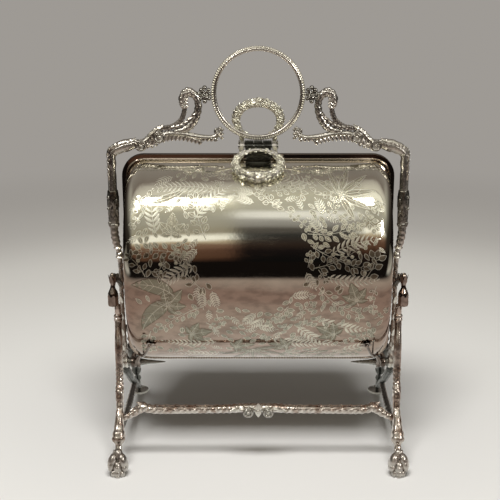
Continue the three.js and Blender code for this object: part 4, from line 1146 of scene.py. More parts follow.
def divided(rows, count, ease=lambda t: t):
    """More rows between the given (radius, distance) ones; ease shapes the radius in between."""
    out = []
    for (r, d), (r_next, d_next) in zip(rows, rows[1:]):
        for k in range(count):
            t = k / count
            out.append((r + (r_next - r) * ease(t), d + (d_next - d) * t))
    return out + [rows[-1]]


def finial_lump():
    """A turned bell with a collar, a neck and an acorn top."""
    lump = Lump()
    rows = [(0.0, 0.0), (3.0, 0.0), (3.6, 0.5), (3.75, 2.2), (3.7, 5.5), (3.75, 7.6), (3.5, 9.6), (2.9, 11.2),
            (2.3, 12.4), (1.75, 14.0), (1.5, 15.6), (1.6, 16.4), (2.1, 17.4), (2.35, 19.0), (2.3, 21.0),
            (1.9, 22.8), (1.2, 24.2), (0.5, 24.8), (0.02, 25.0)]
    profile = [(max(r, 0.02), d) for r, d, _ in smooth_path([row + (0,) for row in rows], 4)]
    base = V(FINIAL_X, FINIAL_Y, FINIAL_Z)
    lump.lathe(profile, base, V(0, 0, 1),
               wave=lambda d, a: 1 + (0.03 * cos(6 * a) if 1 < d < 8 else 0.03 * cos(5 * a)))
    for out in spread(5, V(1, 0, 0), V(0, 1, 0)):
        lump.leaf(base + out * 1.5 + V(0, 0, 17.2), V(0, 0, 1) + out * 0.2, out, 6.5, 2.6, 0.5, curl=0.2,
                  **SMALL_LEAF)
    return lump


def finial_arm_lump():
    """The short leafy arm from a finial to its upright."""
    neck, root = V(FINIAL_X, FINIAL_Y, 129.2), V(102.0, 0, 118.86)
    shares = [(0.05, 0.03, 0.05, 0.9), (0.1, 0.18, -0.12, 0.95), (0.2, 0.36, -0.12, 1),
              (0.4, 0.6, 0.12, 1.05), (0.75, 0.84, 0.55, 1), (0.95, 0.93, 0.9, 0.85)]
    lump, points = cast_bar(neck, root, shares, 1.8, leafy(2.2, 0.14))
    for side in (1, -1):
        lump.leaf(points[2] + V(side * 1.2, 0, 0.8), V(0, 1, 0.1), V(side * 0.6, 0, 1), 8, 3.4, 0.7, curl=0.1)
    return lump


def rear_leg_lump():
    """A turned baluster that leans back to its foot."""
    lump = Lump()
    top, foot = V(*REAR_LEG_TOP), V(FOOT_X, REAR_FOOT_Y - 2, 5)
    line = foot - top
    length = line.length
    rows = [(0.02, 0), (0.55, 0), (0.7, 0.03), (0.5, 0.06), (0.5, 0.12), (0.92, 0.16), (0.8, 0.19), (1, 0.22),
            (0.96, 0.36), (0.8, 0.39), (0.92, 0.43), (0.72, 0.6), (0.84, 0.66), (0.4, 0.75), (0.66, 0.81),
            (0.42, 0.86), (0.4, 0.99)]
    smooth = divided(rows, 4, lambda t: t * t * (3 - 2 * t))
    profile = [(4.4 * r, length * d) for r, d in smooth[:-1]] + [(3.9 * 0.4, length * 0.99)]

    def wave(d, a):
        share = d / length
        if 0.43 < share < 0.66:
            return 1 + 0.1 * sin(d * 1.9 + 2 * sin(a * 2)) + 0.05 * cos(4 * a)
        return 1 + 0.01 * cos(6 * a)

    lump.lathe(profile, top, line, sides=28, wave=wave)
    return lump


def rear_foot_lump():
    """A round stepped disc."""
    lump = Lump()
    rows = [(0.02, 0), (6.6, 0), (7.0, 0.12), (7.5, 0.7), (7.59, 1.3), (7.4, 2.0), (6.6, 2.4), (5.2, 2.75),
            (4.6, 3.1), (3.9, 3.3), (3.0, 3.7), (2.7, 4.3), (2.5, 4.6), (0.02, 4.6)]
    lump.lathe(rows, V(FOOT_X, REAR_FOOT_Y, 0), V(0, 0, 1), sides=48)
    return lump


def strut_lump():
    """The curved strut that carries on from an upright to the rear foot."""
    pivot, foot = V(PIVOT_X, 0, PIVOT_Z), V(FOOT_X, REAR_FOOT_Y, 0)
    shares = [(0.02, 0.05, 0.07, 1.05), (0.05, 0.08, 0.16, 1.05), (0.2, 0.2, 0.27, 1), (0.4, 0.41, 0.47, 1),
              (0.6, 0.62, 0.63, 1), (0.85, 0.78, 0.77, 0.95), (0.95, 0.92, 0.88, 0.85)]
    return cast_bar(pivot, foot, shares, 2.5, leafy(2.6, 0.12), sides=18, per=14)[0]


def rear_arm_lump():
    """The short arm from an upright to the rear leg."""
    root, top = V(101.82, 0, 80), V(*REAR_LEG_TOP)
    shares = [(0, 0.08, 0, 0.9), (0.1, 0.15, -0.1, 0.95), (0.25, 0.35, -0.1, 1), (0.5, 0.6, 0.15, 1),
              (0.8, 0.82, 0.5, 1), (0.95, 0.93, 0.85, 1)]
    return cast_bar(root, top, shares, 1.8, leafy(2.4, 0.13))[0]


def side_stretcher_lump():
    """A leafy bar between paw and rear foot, with a spray at its middle."""
    front, back = V(100.36, PAW_Y, 0), V(FOOT_X, REAR_FOOT_Y, 21)
    shares = [(0, 0.14, 1.2, 0.9), (0, 0.2, 1.1, 1), (0.1, 0.32, 1, 1), (0.3, 0.5, 0.96, 1.1),
              (0.4, 0.66, 0.98, 1), (0.3, 0.79, 1.03, 0.9)]
    lump, points = cast_bar(front, back, shares, 2.1, leafy(2.6, 0.13, 2), sides=16, per=14)
    middle = points[3]
    for side in (-1, 1):
        for way in (-1, 1):
            lump.leaf(middle + V(side * 1.5, way * 1.5, 0.4), V(side * 0.02, way, 0.05), V(side, 0, 0.5), 9,
                      3.4, 0.7, curl=0.1)
    return lump


def front_stretcher_lump():
    """A twisted bar with leaf scrolls and a bump near each end."""
    lump = Lump()
    half = [(1.175, 0.81, 0.95), (1.12, 0.86, 1.0), (1.06, 0.93, 1.15), (0.995, 1.03, 1.45),
            (0.94, 1.0, 1.25), (0.85, 0.975, 1.15), (0.5, 0.985, 1.15), (0.25, 1, 1.25), (0.14, 1.02, 1.3)]
    rows = half + [(-x, z, r) for x, z, r in half[::-1]]
    points = [V(x * STRETCHER_X, STRETCHER_Y, z * STRETCHER_Z) for x, z, _ in rows]
    radii = [r * 2.5 for *_, r in rows]

    def pattern(run, a):
        face = 0.5 + 0.5 * cos(a - pi)
        return 1 + 0.1 * sin(run * 1.5 + 1.6 * sin(2 * a)) + 0.05 * cos(3 * a) * face

    lump.tube(points, radii, sides=20, per=20, detail=pattern)
    # leaf scrolls that run along the front and the top of the bar
    for side in (-1, 1):
        for k in range(9):
            x = side * (16 + k * 7.3)
            for out in (V(0, -1, 0.25), V(0, 0.2, 1)):
                lump.leaf(V(x, STRETCHER_Y, STRETCHER_Z - 0.5) + out.normalized() * 2.3, V(side, 0, 0.12),
                          out, 8.6, 3.6, 0.75, curl=0.3, rows=8, cols=4)
            lump.ball(V(x + side * 3, STRETCHER_Y - 2.9, STRETCHER_Z + 0.4), 0.65, rows=4, sides=6)
        # pointed leaves over the bump near each end
        for x, y, z, along_x, along_z, up, length, thick, curl in (
                (80, -0.5, 2, 1, 0.35, (0, -0.4, 1), 9, 1.0, 0.4),
                (92, -0.5, -1.5, -1, 0.55, (0, -0.5, 1), 10, 1.0, 0.3),
                (88, -2, -2, -0.8, 0.8, (0, -1, 0.2), 8, 0.9, 0.2)):
            lump.leaf(V(side * x, STRETCHER_Y + y, STRETCHER_Z + z), (side * along_x, 0, along_z), up,
                      length, 5, thick, curl=curl)
    return lump


def ornament_lump():
    """Two scrolls and a palmette at the middle of the front stretcher."""
    lump = Lump()
    for side in (-1, 1):
        part = Lump()
        part.spiral(V(SCROLL_X, SCROLL_Y, SCROLL_Z), SCROLL_R, 0.95, 150, 1, 0.7, turns=1.3)
        part.leaf(V(9.2, SCROLL_Y + 0.5, 42.0), V(1, 0, -0.15), V(0, -1, 0.1), 12, 4.4, 1.0, curl=0.2)
        part.leaf(V(2.2, SCROLL_Y + 0.2, 42.4), V(0.9, 0, 0.2), V(0, -1, 0.1), 6, 2.8, 0.8, curl=0.2)
        lump.join(part if side > 0 else part.mirrored(0))
    lump.leaf(V(0, SCROLL_Y + 0.3, 40.4), V(0, 0, 1), V(0, -1, 0), 6.0, 5.6, 1.1, curl=0.2, lobes=1)
    lump.leaf(V(0, SCROLL_Y + 0.3, 41.2), V(0, 0, -1), V(0, -1, 0), 6.0, 4.6, 1.0, curl=0.2, lobes=1)
    lump.ball(V(0, SCROLL_Y - 0.6, 40.2), (1.1, 0.8, 1.1))
    lump.tube([V(x, SCROLL_Y + 0.9, z) for x, z in ((-9, 40), (0, 40.6), (9, 40))], [1.2, 1.6, 1.2], sides=10,
              per=6, depth=0.6)
    return lump


def ornament_disc_lump():
    """The dark faces under the two scrolls: painted shade in the hollows of the spiral."""
    lump = Lump()
    for side in (-1, 1):
        lump.disc(V(side * SCROLL_X, SCROLL_Y, SCROLL_Z), SCROLL_R, 0.5)
    return lump


def rear_stretcher_lump():
    """A plain bar with turned ends."""
    lump = Lump()
    span = 2 * REAR_BAR_HALF
    shares = [(1, 0), (1, 0.06), (1.4, 0.07), (1.4, 0.085), (1, 0.095), (0.9, 0.3), (1.15, 0.5), (0.9, 0.7),
              (1, 0.905), (1.4, 0.915), (1.4, 0.93), (1, 0.94), (1, 1)]
    lump.lathe([(2.2 * r, span * d) for r, d in divided(shares, 8)],
               V(-REAR_BAR_HALF, REAR_BAR_Y, REAR_BAR_Z), V(1, 0, 0), sides=24,
               wave=lambda d, a: 1 + 0.09 * sin(d * 1.7 + 2 * sin(2 * a)))
    return lump


# the top arm in shares: out to the upright, up its rise, and of its radius
SHOULDER = [(1, 0.03, 0.8), (0.994, 0.07, 0.86), (0.972, 0.118, 0.98), (0.93, 0.163, 1.1),
            (0.885, 0.19, 1.12), (0.845, 0.214, 0.9), (0.815, 0.232, 0.5)]
LINK = [(0.79, 0.2, 0.6), (0.75, 0.26, 0.65), (0.72, 0.33, 0.6), (0.69, 0.385, 0.5), (0.66, 0.42, 0.3)]
BRANCH = [(0.66, 0.33, 0.5), (0.633, 0.343, 0.5), (0.599, 0.358, 0.5), (0.516, 0.353, 0.52),
          (0.443, 0.322, 0.5), (0.375, 0.302, 0.45), (0.32, 0.30, 0.4), (0.285, 0.325, 0.4),
          (0.266, 0.37, 0.42), (0.256, 0.41, 0.4)]
NECK = [(0.565, 0.386, 0.5), (0.51, 0.405, 0.62), (0.466, 0.455, 0.68), (0.43, 0.55, 0.68),
        (0.408, 0.67, 0.64), (0.402, 0.78, 0.6), (0.414, 0.875, 0.62), (0.44, 0.93, 0.72),
        (0.472, 0.945, 0.78), (0.497, 0.905, 0.76), (0.508, 0.84, 0.66), (0.506, 0.77, 0.5),
        (0.498, 0.72, 0.35)]
STEM = [(0.655, 0.43, 0.35), (0.62, 0.44, 0.45), (0.582, 0.455, 0.45), (0.545, 0.5, 0.45),
        (0.516, 0.566, 0.42), (0.498, 0.667, 0.4), (0.494, 0.76, 0.38), (0.49, 0.86, 0.35)]


def leaf_row(lump, rows, count, size, width, offset, faces, thick=0.8, curl=0.3):
    """Leaves that overlap along a path in the plane of the arm, their bases on its outer side."""
    path = smooth_path([tuple(arm_place(x, z)) for x, z, *_ in rows], 12)
    for i in range(count):
        at = int((len(path) - 2) * (i + 0.3) / count)
        spot, ahead = Vector(path[at]), Vector(path[at + 1])
        way = (ahead - spot).normalized()
        normal = V(way.z, 0, -way.x)
        for y in faces:
            out = (normal * (1 if offset >= 0 else -1) + V(0, y * 0.5, 0)).normalized()
            lump.leaf(spot + normal * offset + V(0, y, 0), way, out, size, width, thick, curl=curl,
                      **SMALL_LEAF)


# place on the arm, radius, bead, start in degrees, sense of turn, half depth
VOLUTES = [(0.798, 0.186, 4.2, 0.9, 150, -1, 2.0), (0.668, 0.314, 4.4, 0.95, 120, -1, 2.3),
           (0.278, 0.392, 2.3, 0.5, -60, 1, 1.2)]


def arm_disc_lump():
    """The plain faces under the volutes of an arm, in a duller darker metal: painted shade in the hollows of
    the spiral.
    """
    lump = Lump()
    for x, z, radius, _, _, _, deep in VOLUTES:
        lump.disc(arm_place(x, z), radius, deep)
    return lump


def top_arm_lump():
    """The arm from an upright to the ring: shoulder, link, branch, volutes and fringe."""
    lump = Lump()
    lump.tube(*arm(SHOULDER), sides=24, per=14, depth=0.6, detail=leafy(6.0, 0.03, 2))
    lump.tube(*arm(LINK), sides=18, per=10, depth=0.65, detail=leafy(2.6, 0.1))
    lump.tube(*arm(BRANCH), sides=18, per=12, depth=0.85, detail=lambda run, a: 1 + 0.1 * cos(4 * a))
    for x, z, radius, thick, start, turn, deep in VOLUTES:
        lump.spiral(arm_place(x, z), radius, thick, start, turn, deep)
    # a raised stem and leaf relief on both faces of the shoulder, leaf points along its outer edge
    for y in (-1, 1):
        stem = [(x, z + 0.012, 0.28) for x, z, _ in SHOULDER]
        points, radii = arm(stem)
        lump.tube([v + V(0, y * 2.35, 0) for v in points], radii, sides=10, per=10)
        leaf_row(lump, SHOULDER[:5], 7, 5.6, 2.6, 1.6, (y * 2.1,), thick=1.1, curl=0.5)
        leaf_row(lump, SHOULDER[:5], 7, 4.6, 2.2, 0.2, (y * 2.35,))
    leaf_row(lump, SHOULDER[:6], 9, 4.6, 3.2, 2.9, (-1.1, 1.1), curl=0.35)
    # leaves over the link between the two volutes
    leaf_row(lump, LINK, 6, 5.2, 3.2, 1.5, (-1.3, 1.3), thick=0.9, curl=0.6)
    for y in (-0.9, 0.9):
        lump.leaf(arm_place(0.735, 0.355, y), V(-0.8, 0, 0.5), V(0.4, y, 0.9), 8.5, 3.4, 0.9, curl=0.5)
        lump.leaf(arm_place(0.70, 0.40, y), V(-0.85, 0, 0.35), V(0.4, y, 0.9), 6.5, 3.0, 0.8, curl=0.4)
    # a wing of slanting leaf points under the branch
    count = 19
    for i in range(count):
        t = i / (count - 1)
        x = 0.755 + (0.285 - 0.755) * t
        top = 0.25 + 0.1 * sin(pi * min(1, t * 1.25)) if t < 0.8 else 0.31 - 0.02 * (t - 0.8) * 5
        size = 7.6 - 5.0 * t ** 0.8
        for y in (-0.75, 0.75):
            lump.leaf(arm_place(x, top, y), V(0.35, 0, -1), V(0, y, 0.1), size, 3.6, 0.9, curl=0.25,
                      **MID_LEAF)
        if i % 2 == 0:
            for y in (-1.5, 1.5):
                lump.ball(arm_place(x, top - 0.02, y), (0.8, 0.5, 0.8), rows=4, sides=6)
    for x, z, size in ((0.745, 0.20, 1.5), (0.72, 0.175, 1.3), (0.69, 0.2, 1.2)):
        for y in (-1.2, 1.2):
            lump.ball(arm_place(x, z, y), (size, size * 0.6, size))
    # the end that clasps the ring
    for k in range(6):
        lump.ball(arm_place(0.245 + 0.012 * (k % 2), 0.29 + 0.03 * k, 0.7 * (-1) ** k), (1.3, 1.2, 1.1))
    return lump


def bird_lump():
    """A bird-like scroll: a scaled neck that arches over, a knobbly head, and a leafy stem behind it."""
    lump = Lump()
    points, radii = arm(NECK)

    def scales(run, a):
        row = sin(tau * run / 2.0)
        return 1 + 0.11 * row * cos(5 * a + pi * int(run / 2.0)) + 0.03 * cos(4 * a)

    lump.tube(points, radii, sides=24, per=10, depth=0.8, detail=scales)
    lump.tube(*arm(STEM), per=8, depth=0.85, detail=leafy(2.2, 0.12))
    # knobbly crown and cheeks
    for x, z, size in ((0.437, 0.955, 1.5), (0.455, 0.985, 1.5), (0.475, 0.99, 1.7), (0.493, 0.965, 1.6),
                       (0.506, 0.92, 1.5), (0.512, 0.87, 1.4), (0.512, 0.815, 1.2), (0.508, 0.765, 1.0)):
        for y in (-1.2, 1.2):
            lump.ball(arm_place(x, z, y), (size, size * 0.8, size * 0.85), sides=10)
    for k in range(6):
        x, z = 0.44 + 0.013 * k, 0.97 - 0.02 * max(0, k - 2) ** 1.6
        lump.leaf(arm_place(x, z), V(0.95, 0, 0.1 - 0.22 * k), V(0.3 * k, 0, 1), 4.2, 2.8, 0.8, curl=0.5,
                  **SMALL_LEAF)
    for y in (-1.9, 1.9):
        lump.ball(arm_place(0.476, 0.93, y), (0.7, 0.45, 0.7), rows=5)
        for k in range(3):
            lump.leaf(arm_place(0.47, 0.86 - 0.05 * k, y * 0.7), V(0.9, 0, -0.5), V(0, y, 0), 3.6, 2.2, 0.6,
                      curl=0.2, lobes=1, rows=5, cols=4)
    # leaves at the foot of the neck and along the stem
    for k in range(6):
        x, z = 0.60 - 0.03 * k, 0.43 + 0.012 * k * k * 0.6
        for y in (-1.2, 1.2):
            lump.leaf(arm_place(x, z, y), V(-0.8, 0, 0.45), V(0.3, y, 0.6), 5.2, 2.8, 0.8, curl=0.3,
                      **SMALL_LEAF)
    return lump


def rosette_lump():
    """A flower with a ring of buds, where the arm meets the ring."""
    lump = Lump()
    centre = V(*ROSETTE)
    lump.lathe([(0.02, -1.4), (2.6, -1.4), (3.0, -0.9), (3.0, 0.9), (2.6, 1.4), (0.02, 1.4)], centre,
               V(0, 1, 0), sides=24, wave=lambda d, a: 1 + 0.06 * cos(6 * a))
    for side in (-1, 1):
        for out in spread(6, V(1, 0, 0), V(0, 0, 1)):
            lump.leaf(centre + out * 0.8 + V(0, side * 1.1, 0), out, V(0, side, 0), 3.2, 2.6, 0.8, curl=0.25,
                      lobes=1, rows=6, cols=4)
            lump.ball(centre + out * 3.0 + V(0, side * 0.5, 0), (0.8, 1.0, 0.8), rows=4, sides=6)
        lump.ball(centre + V(0, side * 1.9, 0), (1.25, 0.8, 1.25), sides=10)
    for dx, dz, size in ((0.3, 5.2, 1.9), (-2.4, 3.6, 1.7), (2.6, 3.4, 2.0), (4.0, 1.0, 1.7),
                         (-3.4, 0.6, 1.6), (3.4, -2.2, 1.8), (-3.0, -2.6, 1.5), (0.2, -4.4, 1.9)):
        for y in (-1.0, 1.0):
            lump.ball(centre + V(dx, y, dz), (size * 0.85, size * 0.7, size * 0.8), sides=10)
    return lump


def stud_lump():
    """A pivot stud with its long tapered point."""
    lump = Lump()
    rows = [(0.12, STUD_TIP), (0.4, 70.9), (1.3, 79), (1.7, 84.4), (2.0, 85), (2.6, 88.6), (2.6, 97.2),
            (3.4, 97.2), (3.4, 98.7), (1.6, 98.7), (1.6, 105.9), (0.02, 106.0)]
    profile = []
    for a, b in zip(rows, rows[1:]):
        profile.append((a[0], a[1] - STUD_TIP))
        if b[1] - a[1] > 2:
            for k in range(1, 8):
                t = k / 8
                profile.append((a[0] + (b[0] - a[0]) * t, a[1] - STUD_TIP + (b[1] - a[1]) * t))
    profile.append((rows[-1][0], rows[-1][1] - STUD_TIP))
    lump.lathe(profile, V(STUD_TIP, 0, PIVOT_Z), V(1, 0, 0), sides=24,
               wave=lambda d, a: 1 + (0.06 * cos(5 * a) if 2 < d < 15 else 0.0))
    return lump


def nut_lump():
    """A domed cap nut."""
    lump = Lump()
    base = V(NUT_X, 0, PIVOT_Z)
    rows = [(1.75, 0), (3.0, 0), (3.2, 0.25), (3.2, 1.6), (3.0, 2.0), (2.7, 2.6), (1.9, 3.4), (0.9, 3.9),
            (0.02, 4.0)]
    lump.lathe(rows, base, V(1, 0, 0), sides=30, wave=lambda d, a: 1 + (0.03 * cos(6 * a) if d < 2 else 0))
    return lump


EYE_WIDTH = 3.2


def strap_lump(eye_end, sweep):
    """Eye on the stud, a band that hugs the shell, and a leafy curl at its end."""
    lump = Lump()
    start = eye_end - EYE_WIDTH
    middle = (start + eye_end) / 2
    section = ((2.78, start), (4.0, start), (4.2, start + 0.3), (4.2, eye_end - 0.3), (4.0, eye_end),
               (2.78, eye_end))
    turns = [tau * k / 28 for k in range(28)]
    lump.rings([[V(x, cos(a) * r, PIVOT_Z + sin(a) * r) for r, x in section] for a in turns],
               close=True)

    def hug(x, angle, lift):
        reach = drum_reach(x - 1.6) + lift
        a = radians(angle)
        return V(x, -sin(a) * reach * DRUM_DEEP / DRUM_HIGH, CENTRE - cos(a) * reach)

    lift = 0.75
    points = [V(middle, -3.6, PIVOT_Z), V(middle, -6.3, PIVOT_Z + 3.4)]
    for x, share in ((88, 0.3), (85, 0.52), (81.5, 0.76), (78, 1.0)):
        points.append(hug(x, sweep * share, lift))
    lump.tube(points, [1.5, 1.1, 0.55, 0.5, 0.5, 0.6], per=8, flat=(1, 0, 0), depth=1.7,
              detail=leafy(2.4, 0.05))
    tip = points[-1]
    _, out = on_drum(78, radians(sweep - 90), 0)
    way = (points[-1] - points[-2]).normalized()
    for swing, size in ((-0.9, 6.2), (-0.35, 7.0), (0.25, 6.6), (0.8, 5.4)):
        side = way.cross(out).normalized()
        lump.leaf(tip - way * 1.5, way * cos(swing) + side * sin(swing), out, size, 3.4, 0.9, curl=0.9,
                  **MID_LEAF)
    lump.ball(tip + out * 0.9, (1.5, 1.3, 1.3))
    return lump


pair(upright_lump(), "upright_cast", cast, "upright")
pair(leaf_cup_lump(), "upright_calyx", dark_cast, "upright_leaf_cup")
pair(leg_lump(), "front_leg_cast", cast_warm, "front_leg")
pair(paw_lump(), "front_paw_cast", paw_metal, "front_paw")
pair(finial_lump(), "front_finial_turned", bell_metal, "front_finial", slot="polished_silver")
pair(finial_arm_lump(), "finial_arm_cast", dark_cast, "finial_arm")
# rear legs, struts, rear feet and rear arms, near black and dark: painted shade under the barrel
pair(rear_leg_lump(), "rear_leg_turned", darkest, "rear_leg")
pair(rear_foot_lump(), "rear_foot_turned", dark_cast, "rear_foot", slot="polished_silver")
pair(strut_lump(), "rear_strut_cast", darkest, "rear_strut")
pair(rear_arm_lump(), "rear_arm_cast", dark_cast, "rear_arm")
pair(side_stretcher_lump(), "side_stretcher_cast", dark_cast, "side_stretcher")
pair(top_arm_lump(), "top_arm_cast", cast, "top_arm")
pair(bird_lump(), "bird_scroll_cast", cast, "bird_scroll")
pair(rosette_lump(), "ring_rosette_cast", dark_cast, "ring_rosette")
pair(stud_lump(), "pivot_stud_turned", dark_cast, "pivot_stud", slot="hinge_metal")
pair(nut_lump(), "pivot_nut_turned", dark_cast, "pivot_nut", slot="hinge_metal")
front_stretcher_lump().object("front_stretcher_cast", "frame", cast_warm, ["front_stretcher"])
ornament_lump().object("front_stretcher_scrolls", "frame", cast, ["front_stretcher_ornament"])
ornament_disc_lump().object("front_stretcher_scroll_faces", "frame", dark_cast, slot="cast_silver")
for side, arm_disc in (("right", arm_disc_lump()), ("left", arm_disc_lump().mirrored(0))):
    arm_disc.object(f"top_arm_scroll_faces_{side}", "frame", scroll_face, slot="cast_silver")
# the rear stretcher's dark metal: painted shade under the barrel
rear_stretcher_lump().object("rear_stretcher_cast", "frame", dark_cast, ["rear_stretcher"])

# the rear eye sits against the collar of the stud, the front eye beside it
boss_half, solder_gap, collar, run_gaps, eye_pitch = 2.4, 0.3, 1.5, 0.8, 3.6
EYE_END = PIVOT_X - boss_half - solder_gap - collar - run_gaps
for half in ("front", "rear"):
    rear = half == "rear"
    strap = strap_lump(EYE_END, 34) if rear else strap_lump(EYE_END - eye_pitch, 46)
    pair(placed(strap, rear), f"{half}_strap_cast", bell_metal, f"{half}_hinge_strap", body=f"{half}_half")


# Frame nodes that stay: inner grilles, their knobs and the pins

for name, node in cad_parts.items():
    if name.endswith("_grille") or name.endswith("_grille_knob"):
        chosen = gilt
    elif name.endswith("_pin"):
        chosen = steel
    else:
        continue
    for slot in node.material_slots:
        slot.material = chosen


# Studio: pale floor painted to warm grey with distance as a pool of light, soft light from above, a dark room
# to reflect

BACKDROP = (0.342, 0.322, 0.298)


def floor_material():
    """Paper floor painted as a pool of light; past it the camera sees a plain backdrop, the silver a painted
    table in a dark room.
    """
    material = bpy.data.materials.new("paper_floor")
    graph = Graph(material)
    shader = graph.nodes["Principled BSDF"]
    shader.inputs["Roughness"].default_value = 0.8
    shader.inputs["Specular IOR Level"].default_value = 0.1
    place = graph.place()
    away = graph.add("VectorMath", "Value", {0: place}, operation="LENGTH")
    # painted pool of light: a little darker near the box, palest about 0.27 m out, darker further off
    graph.plug(shader.inputs["Base Color"], graph.ramp(away, (
        (0.0, (0.70, 0.695, 0.68)), (0.12, (0.70, 0.695, 0.68)), (0.27, (0.765, 0.76, 0.735)),
        (0.45, (0.735, 0.725, 0.695)), (0.65, (0.61, 0.595, 0.57)), (1.0, (0.42, 0.40, 0.375))), "EASE"))
    graph.bump(shader.inputs["Normal"], graph.noise(place, 900.0), 0.05, 0.0005)
    rays = graph.nodes.new("ShaderNodeLightPath").outputs

    def over(share, colour, under):
        glow = graph.add("Emission", "Emission", {"Color": colour})
        return graph.add("MixShader", "Shader", {"Fac": share, 1: under, 2: glow})

    # the camera sees an evenly lit backdrop from here on
    far = graph.calc("MULTIPLY", graph.fade(away, 0.45, 1.0), rays["Is Camera Ray"])
    surface = over(far, BACKDROP, shader.outputs["BSDF"])
    # the silver sees here a painted reflection: a glowing table, brightest under the box where the floor lies
    # in shadow, with an edge and a dark room past it, but straight to both sides the lit floor
    x, y, _ = graph.axes(place)
    aisle = graph.calc("MULTIPLY", graph.fade(graph.calc("ABSOLUTE", x), 0.55, 0.75),
                       graph.fade(graph.calc("ABSOLUTE", y), 0.40, 0.22))
    mirrored = graph.calc("MULTIPLY", graph.calc("SUBTRACT", 1.0, aisle), rays["Is Glossy Ray"])
    table = graph.ramp(away, (
        (0.03, (0.88, 0.89, 0.86)), (0.13, (0.72, 0.71, 0.65)), (0.24, (0.54, 0.46, 0.41)),
        (0.50, (0.40, 0.33, 0.285)), (0.57, (0.20, 0.16, 0.14)), (0.63, (0.006, 0.0045, 0.004))))
    graph.plug(graph.nodes["Material Output"].inputs["Surface"], over(mirrored, table, surface))
    return material


def build_floor():
    mesh = bpy.data.meshes.new("floor")
    size = 9.0
    mesh.from_pydata([(-size, -size, 0), (size, -size, 0), (size, size, 0), (-size, size, 0)], [],
                     [(0, 1, 2, 3)])
    mesh.materials.append(floor_material())
    linked("floor", mesh)


# The room in degrees over the front horizon: a dark end, windows, a ceiling, a dim back.
# WARM is what a doorway on the left and one at the far right show, COOL is the rest.
WARM = ((0, (0.014, 0.008, 0.006)), (3, (0.05, 0.024, 0.015)), (6, (0.09, 0.045, 0.027)),
        (11, (0.12, 0.062, 0.04)), (15, (0.2, 0.12, 0.08)), (18.5, (0.5, 0.42, 0.3)),
        (20.5, (1.0, 0.98, 0.88)),
        (24, (1.0, 0.98, 0.88)), (27, (0.32, 0.29, 0.22)), (40, (0.38, 0.365, 0.31)),
        (49, (0.44, 0.42, 0.34)),
        (56, (0.76, 0.73, 0.58)), (61, (1.0, 0.98, 0.86)), (67, (0.92, 0.9, 0.78)), (70, (0.40, 0.38, 0.34)),
        (72, (0.68, 0.65, 0.56)), (84, (0.48, 0.45, 0.40)), (93, (0.2, 0.17, 0.15)),
        (104, (0.22, 0.195, 0.175)),
        (135, (0.27, 0.245, 0.225)), (160, (0.12, 0.10, 0.09)), (180, (0.03, 0.025, 0.02)))
COOL = ((0, (0.004, 0.004, 0.004)), (9, (0.008, 0.006, 0.006)), (14, (0.026, 0.017, 0.013)),
        (23, (0.03, 0.03, 0.028)), (28, (0.10, 0.09, 0.08)), (37, (0.40, 0.39, 0.37)),
        (41, (0.85, 0.84, 0.80)),
        (45, (0.85, 0.84, 0.80)), (49, (0.48, 0.465, 0.40)), (68, (0.52, 0.50, 0.41)),
        (84, (0.42, 0.40, 0.35)),
        (93, (0.22, 0.19, 0.165)), (104, (0.21, 0.185, 0.165)), (120, (0.19, 0.17, 0.155)),
        (135, (0.27, 0.245, 0.225)), (160, (0.12, 0.10, 0.09)), (180, (0.03, 0.025, 0.02)))


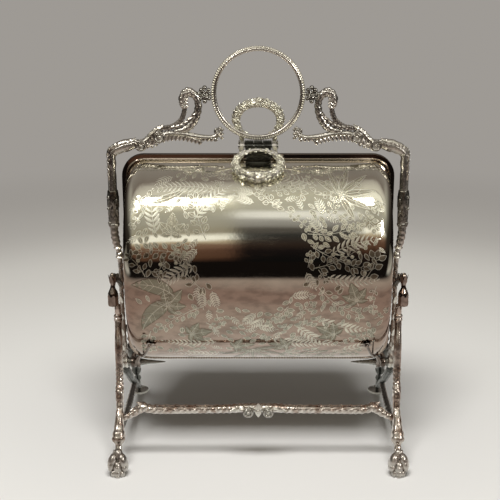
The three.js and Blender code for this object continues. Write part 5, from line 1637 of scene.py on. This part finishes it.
def build_room():
    """The world: bands for the silver to show, the backdrop for the camera, a weak fill for the rest."""
    world = bpy.data.worlds.new("room")
    bpy.context.scene.world = world
    graph = Graph(world)
    calc = graph.calc
    place = graph.place("Generated")
    x, y, z = graph.axes(place)
    waver = calc("MULTIPLY", calc("SUBTRACT", graph.noise(place, 14.0), 0.5), 0.03)
    share = calc("ADD", calc("DIVIDE", calc("ARCTAN2", z, calc("MULTIPLY", y, -1.0)), pi), waver)
    cool = graph.ramp(share, [(degrees / 180, colour) for degrees, colour in COOL])
    # the warm bands slope down to the right
    slope = calc("MULTIPLY", calc("MAXIMUM", calc("MINIMUM", x, 0.12), -0.12), -0.22)
    warm = graph.ramp(calc("ADD", share, slope), [(degrees / 180, colour) for degrees, colour in WARM])
    doors = calc("ADD", graph.fade(x, -0.014, -0.030), graph.fade(x, 0.088, 0.1))
    bands = graph.blend(doors, cool, warm)
    # towards both sides the bands give way to a plain gradient of height
    ends = graph.ramp(z, ((0.0, (0.02, 0.016, 0.013)), (0.16, (0.03, 0.025, 0.02)), (0.3, (0.16, 0.15, 0.13)),
                          (0.5, (0.45, 0.44, 0.38)), (0.7, (0.7, 0.68, 0.6)), (1.0, (0.5, 0.48, 0.42))))
    room = graph.blend(graph.fade(calc("ABSOLUTE", x), 0.72, 0.95), bands, ends)
    rays = graph.nodes.new("ShaderNodeLightPath").outputs
    back = graph.nodes["Background"].inputs
    graph.plug(back["Color"], graph.blend(rays["Is Camera Ray"], room, BACKDROP))
    graph.plug(back["Strength"], calc("SUBTRACT", 1.0, calc("MULTIPLY", rays["Is Diffuse Ray"], 0.64)))


def lamp(name, place, aim, size, power, colour=(1.0, 0.98, 0.94), mirrored=True, floor=True):
    """An area lamp; mirrored says whether metal shows it, floor whether it lights dull surfaces."""
    data = bpy.data.lights.new(name, "AREA")
    data.shape = "RECTANGLE"
    data.size, data.size_y = size
    data.energy = power
    data.color = colour
    piece = linked(name, data)
    piece.location = place
    piece.rotation_euler = (Vector(aim) - Vector(place)).to_track_quat("-Z", "Y").to_euler()
    piece.visible_glossy = mirrored
    piece.visible_diffuse = floor


def build_camera():
    """Focal length and shift were fitted to the photo, in its pixels."""
    photo_width, focal_length, shift, down = 500, 1071, -8.2, 0.2924
    data = bpy.data.cameras.new("camera")
    data.sensor_width = 36.0
    data.lens = focal_length / photo_width * data.sensor_width
    data.shift_x = shift / photo_width
    data.clip_start = 0.01
    piece = linked("camera", data)
    piece.location = (0.0, -0.756, 0.378)
    piece.rotation_euler = (radians(90) - asin(down), 0.0, 0.0)
    bpy.context.scene.camera = piece


build_floor()
build_room()
lamp("soft_box", (-0.04, -0.47, 1.18), (0, 0.35, 0), (0.66, 0.34), 16.2, (1.0, 0.985, 0.965), mirrored=False)
lamp("window_left", (-0.165, -0.60, 1.13), (0, 0, 0.1), (0.18, 0.19), 0.54)
lamp("window_right", (0.225, -0.60, 1.13), (0, 0, 0.1), (0.10, 0.19), 0.36)
# from both sides two small lamps catch the castings and the ends of the barrel
lamp("side_left", (-0.80, -0.75, 1.28), (0, 0, 0.15), (0.25, 0.25), 5.6, floor=False)
lamp("side_right", (0.80, -0.75, 0.62), (0, 0, 0.15), (0.22, 0.22), 3.6, floor=False)
build_camera()
bpy.context.scene.view_settings.view_transform = "Standard"
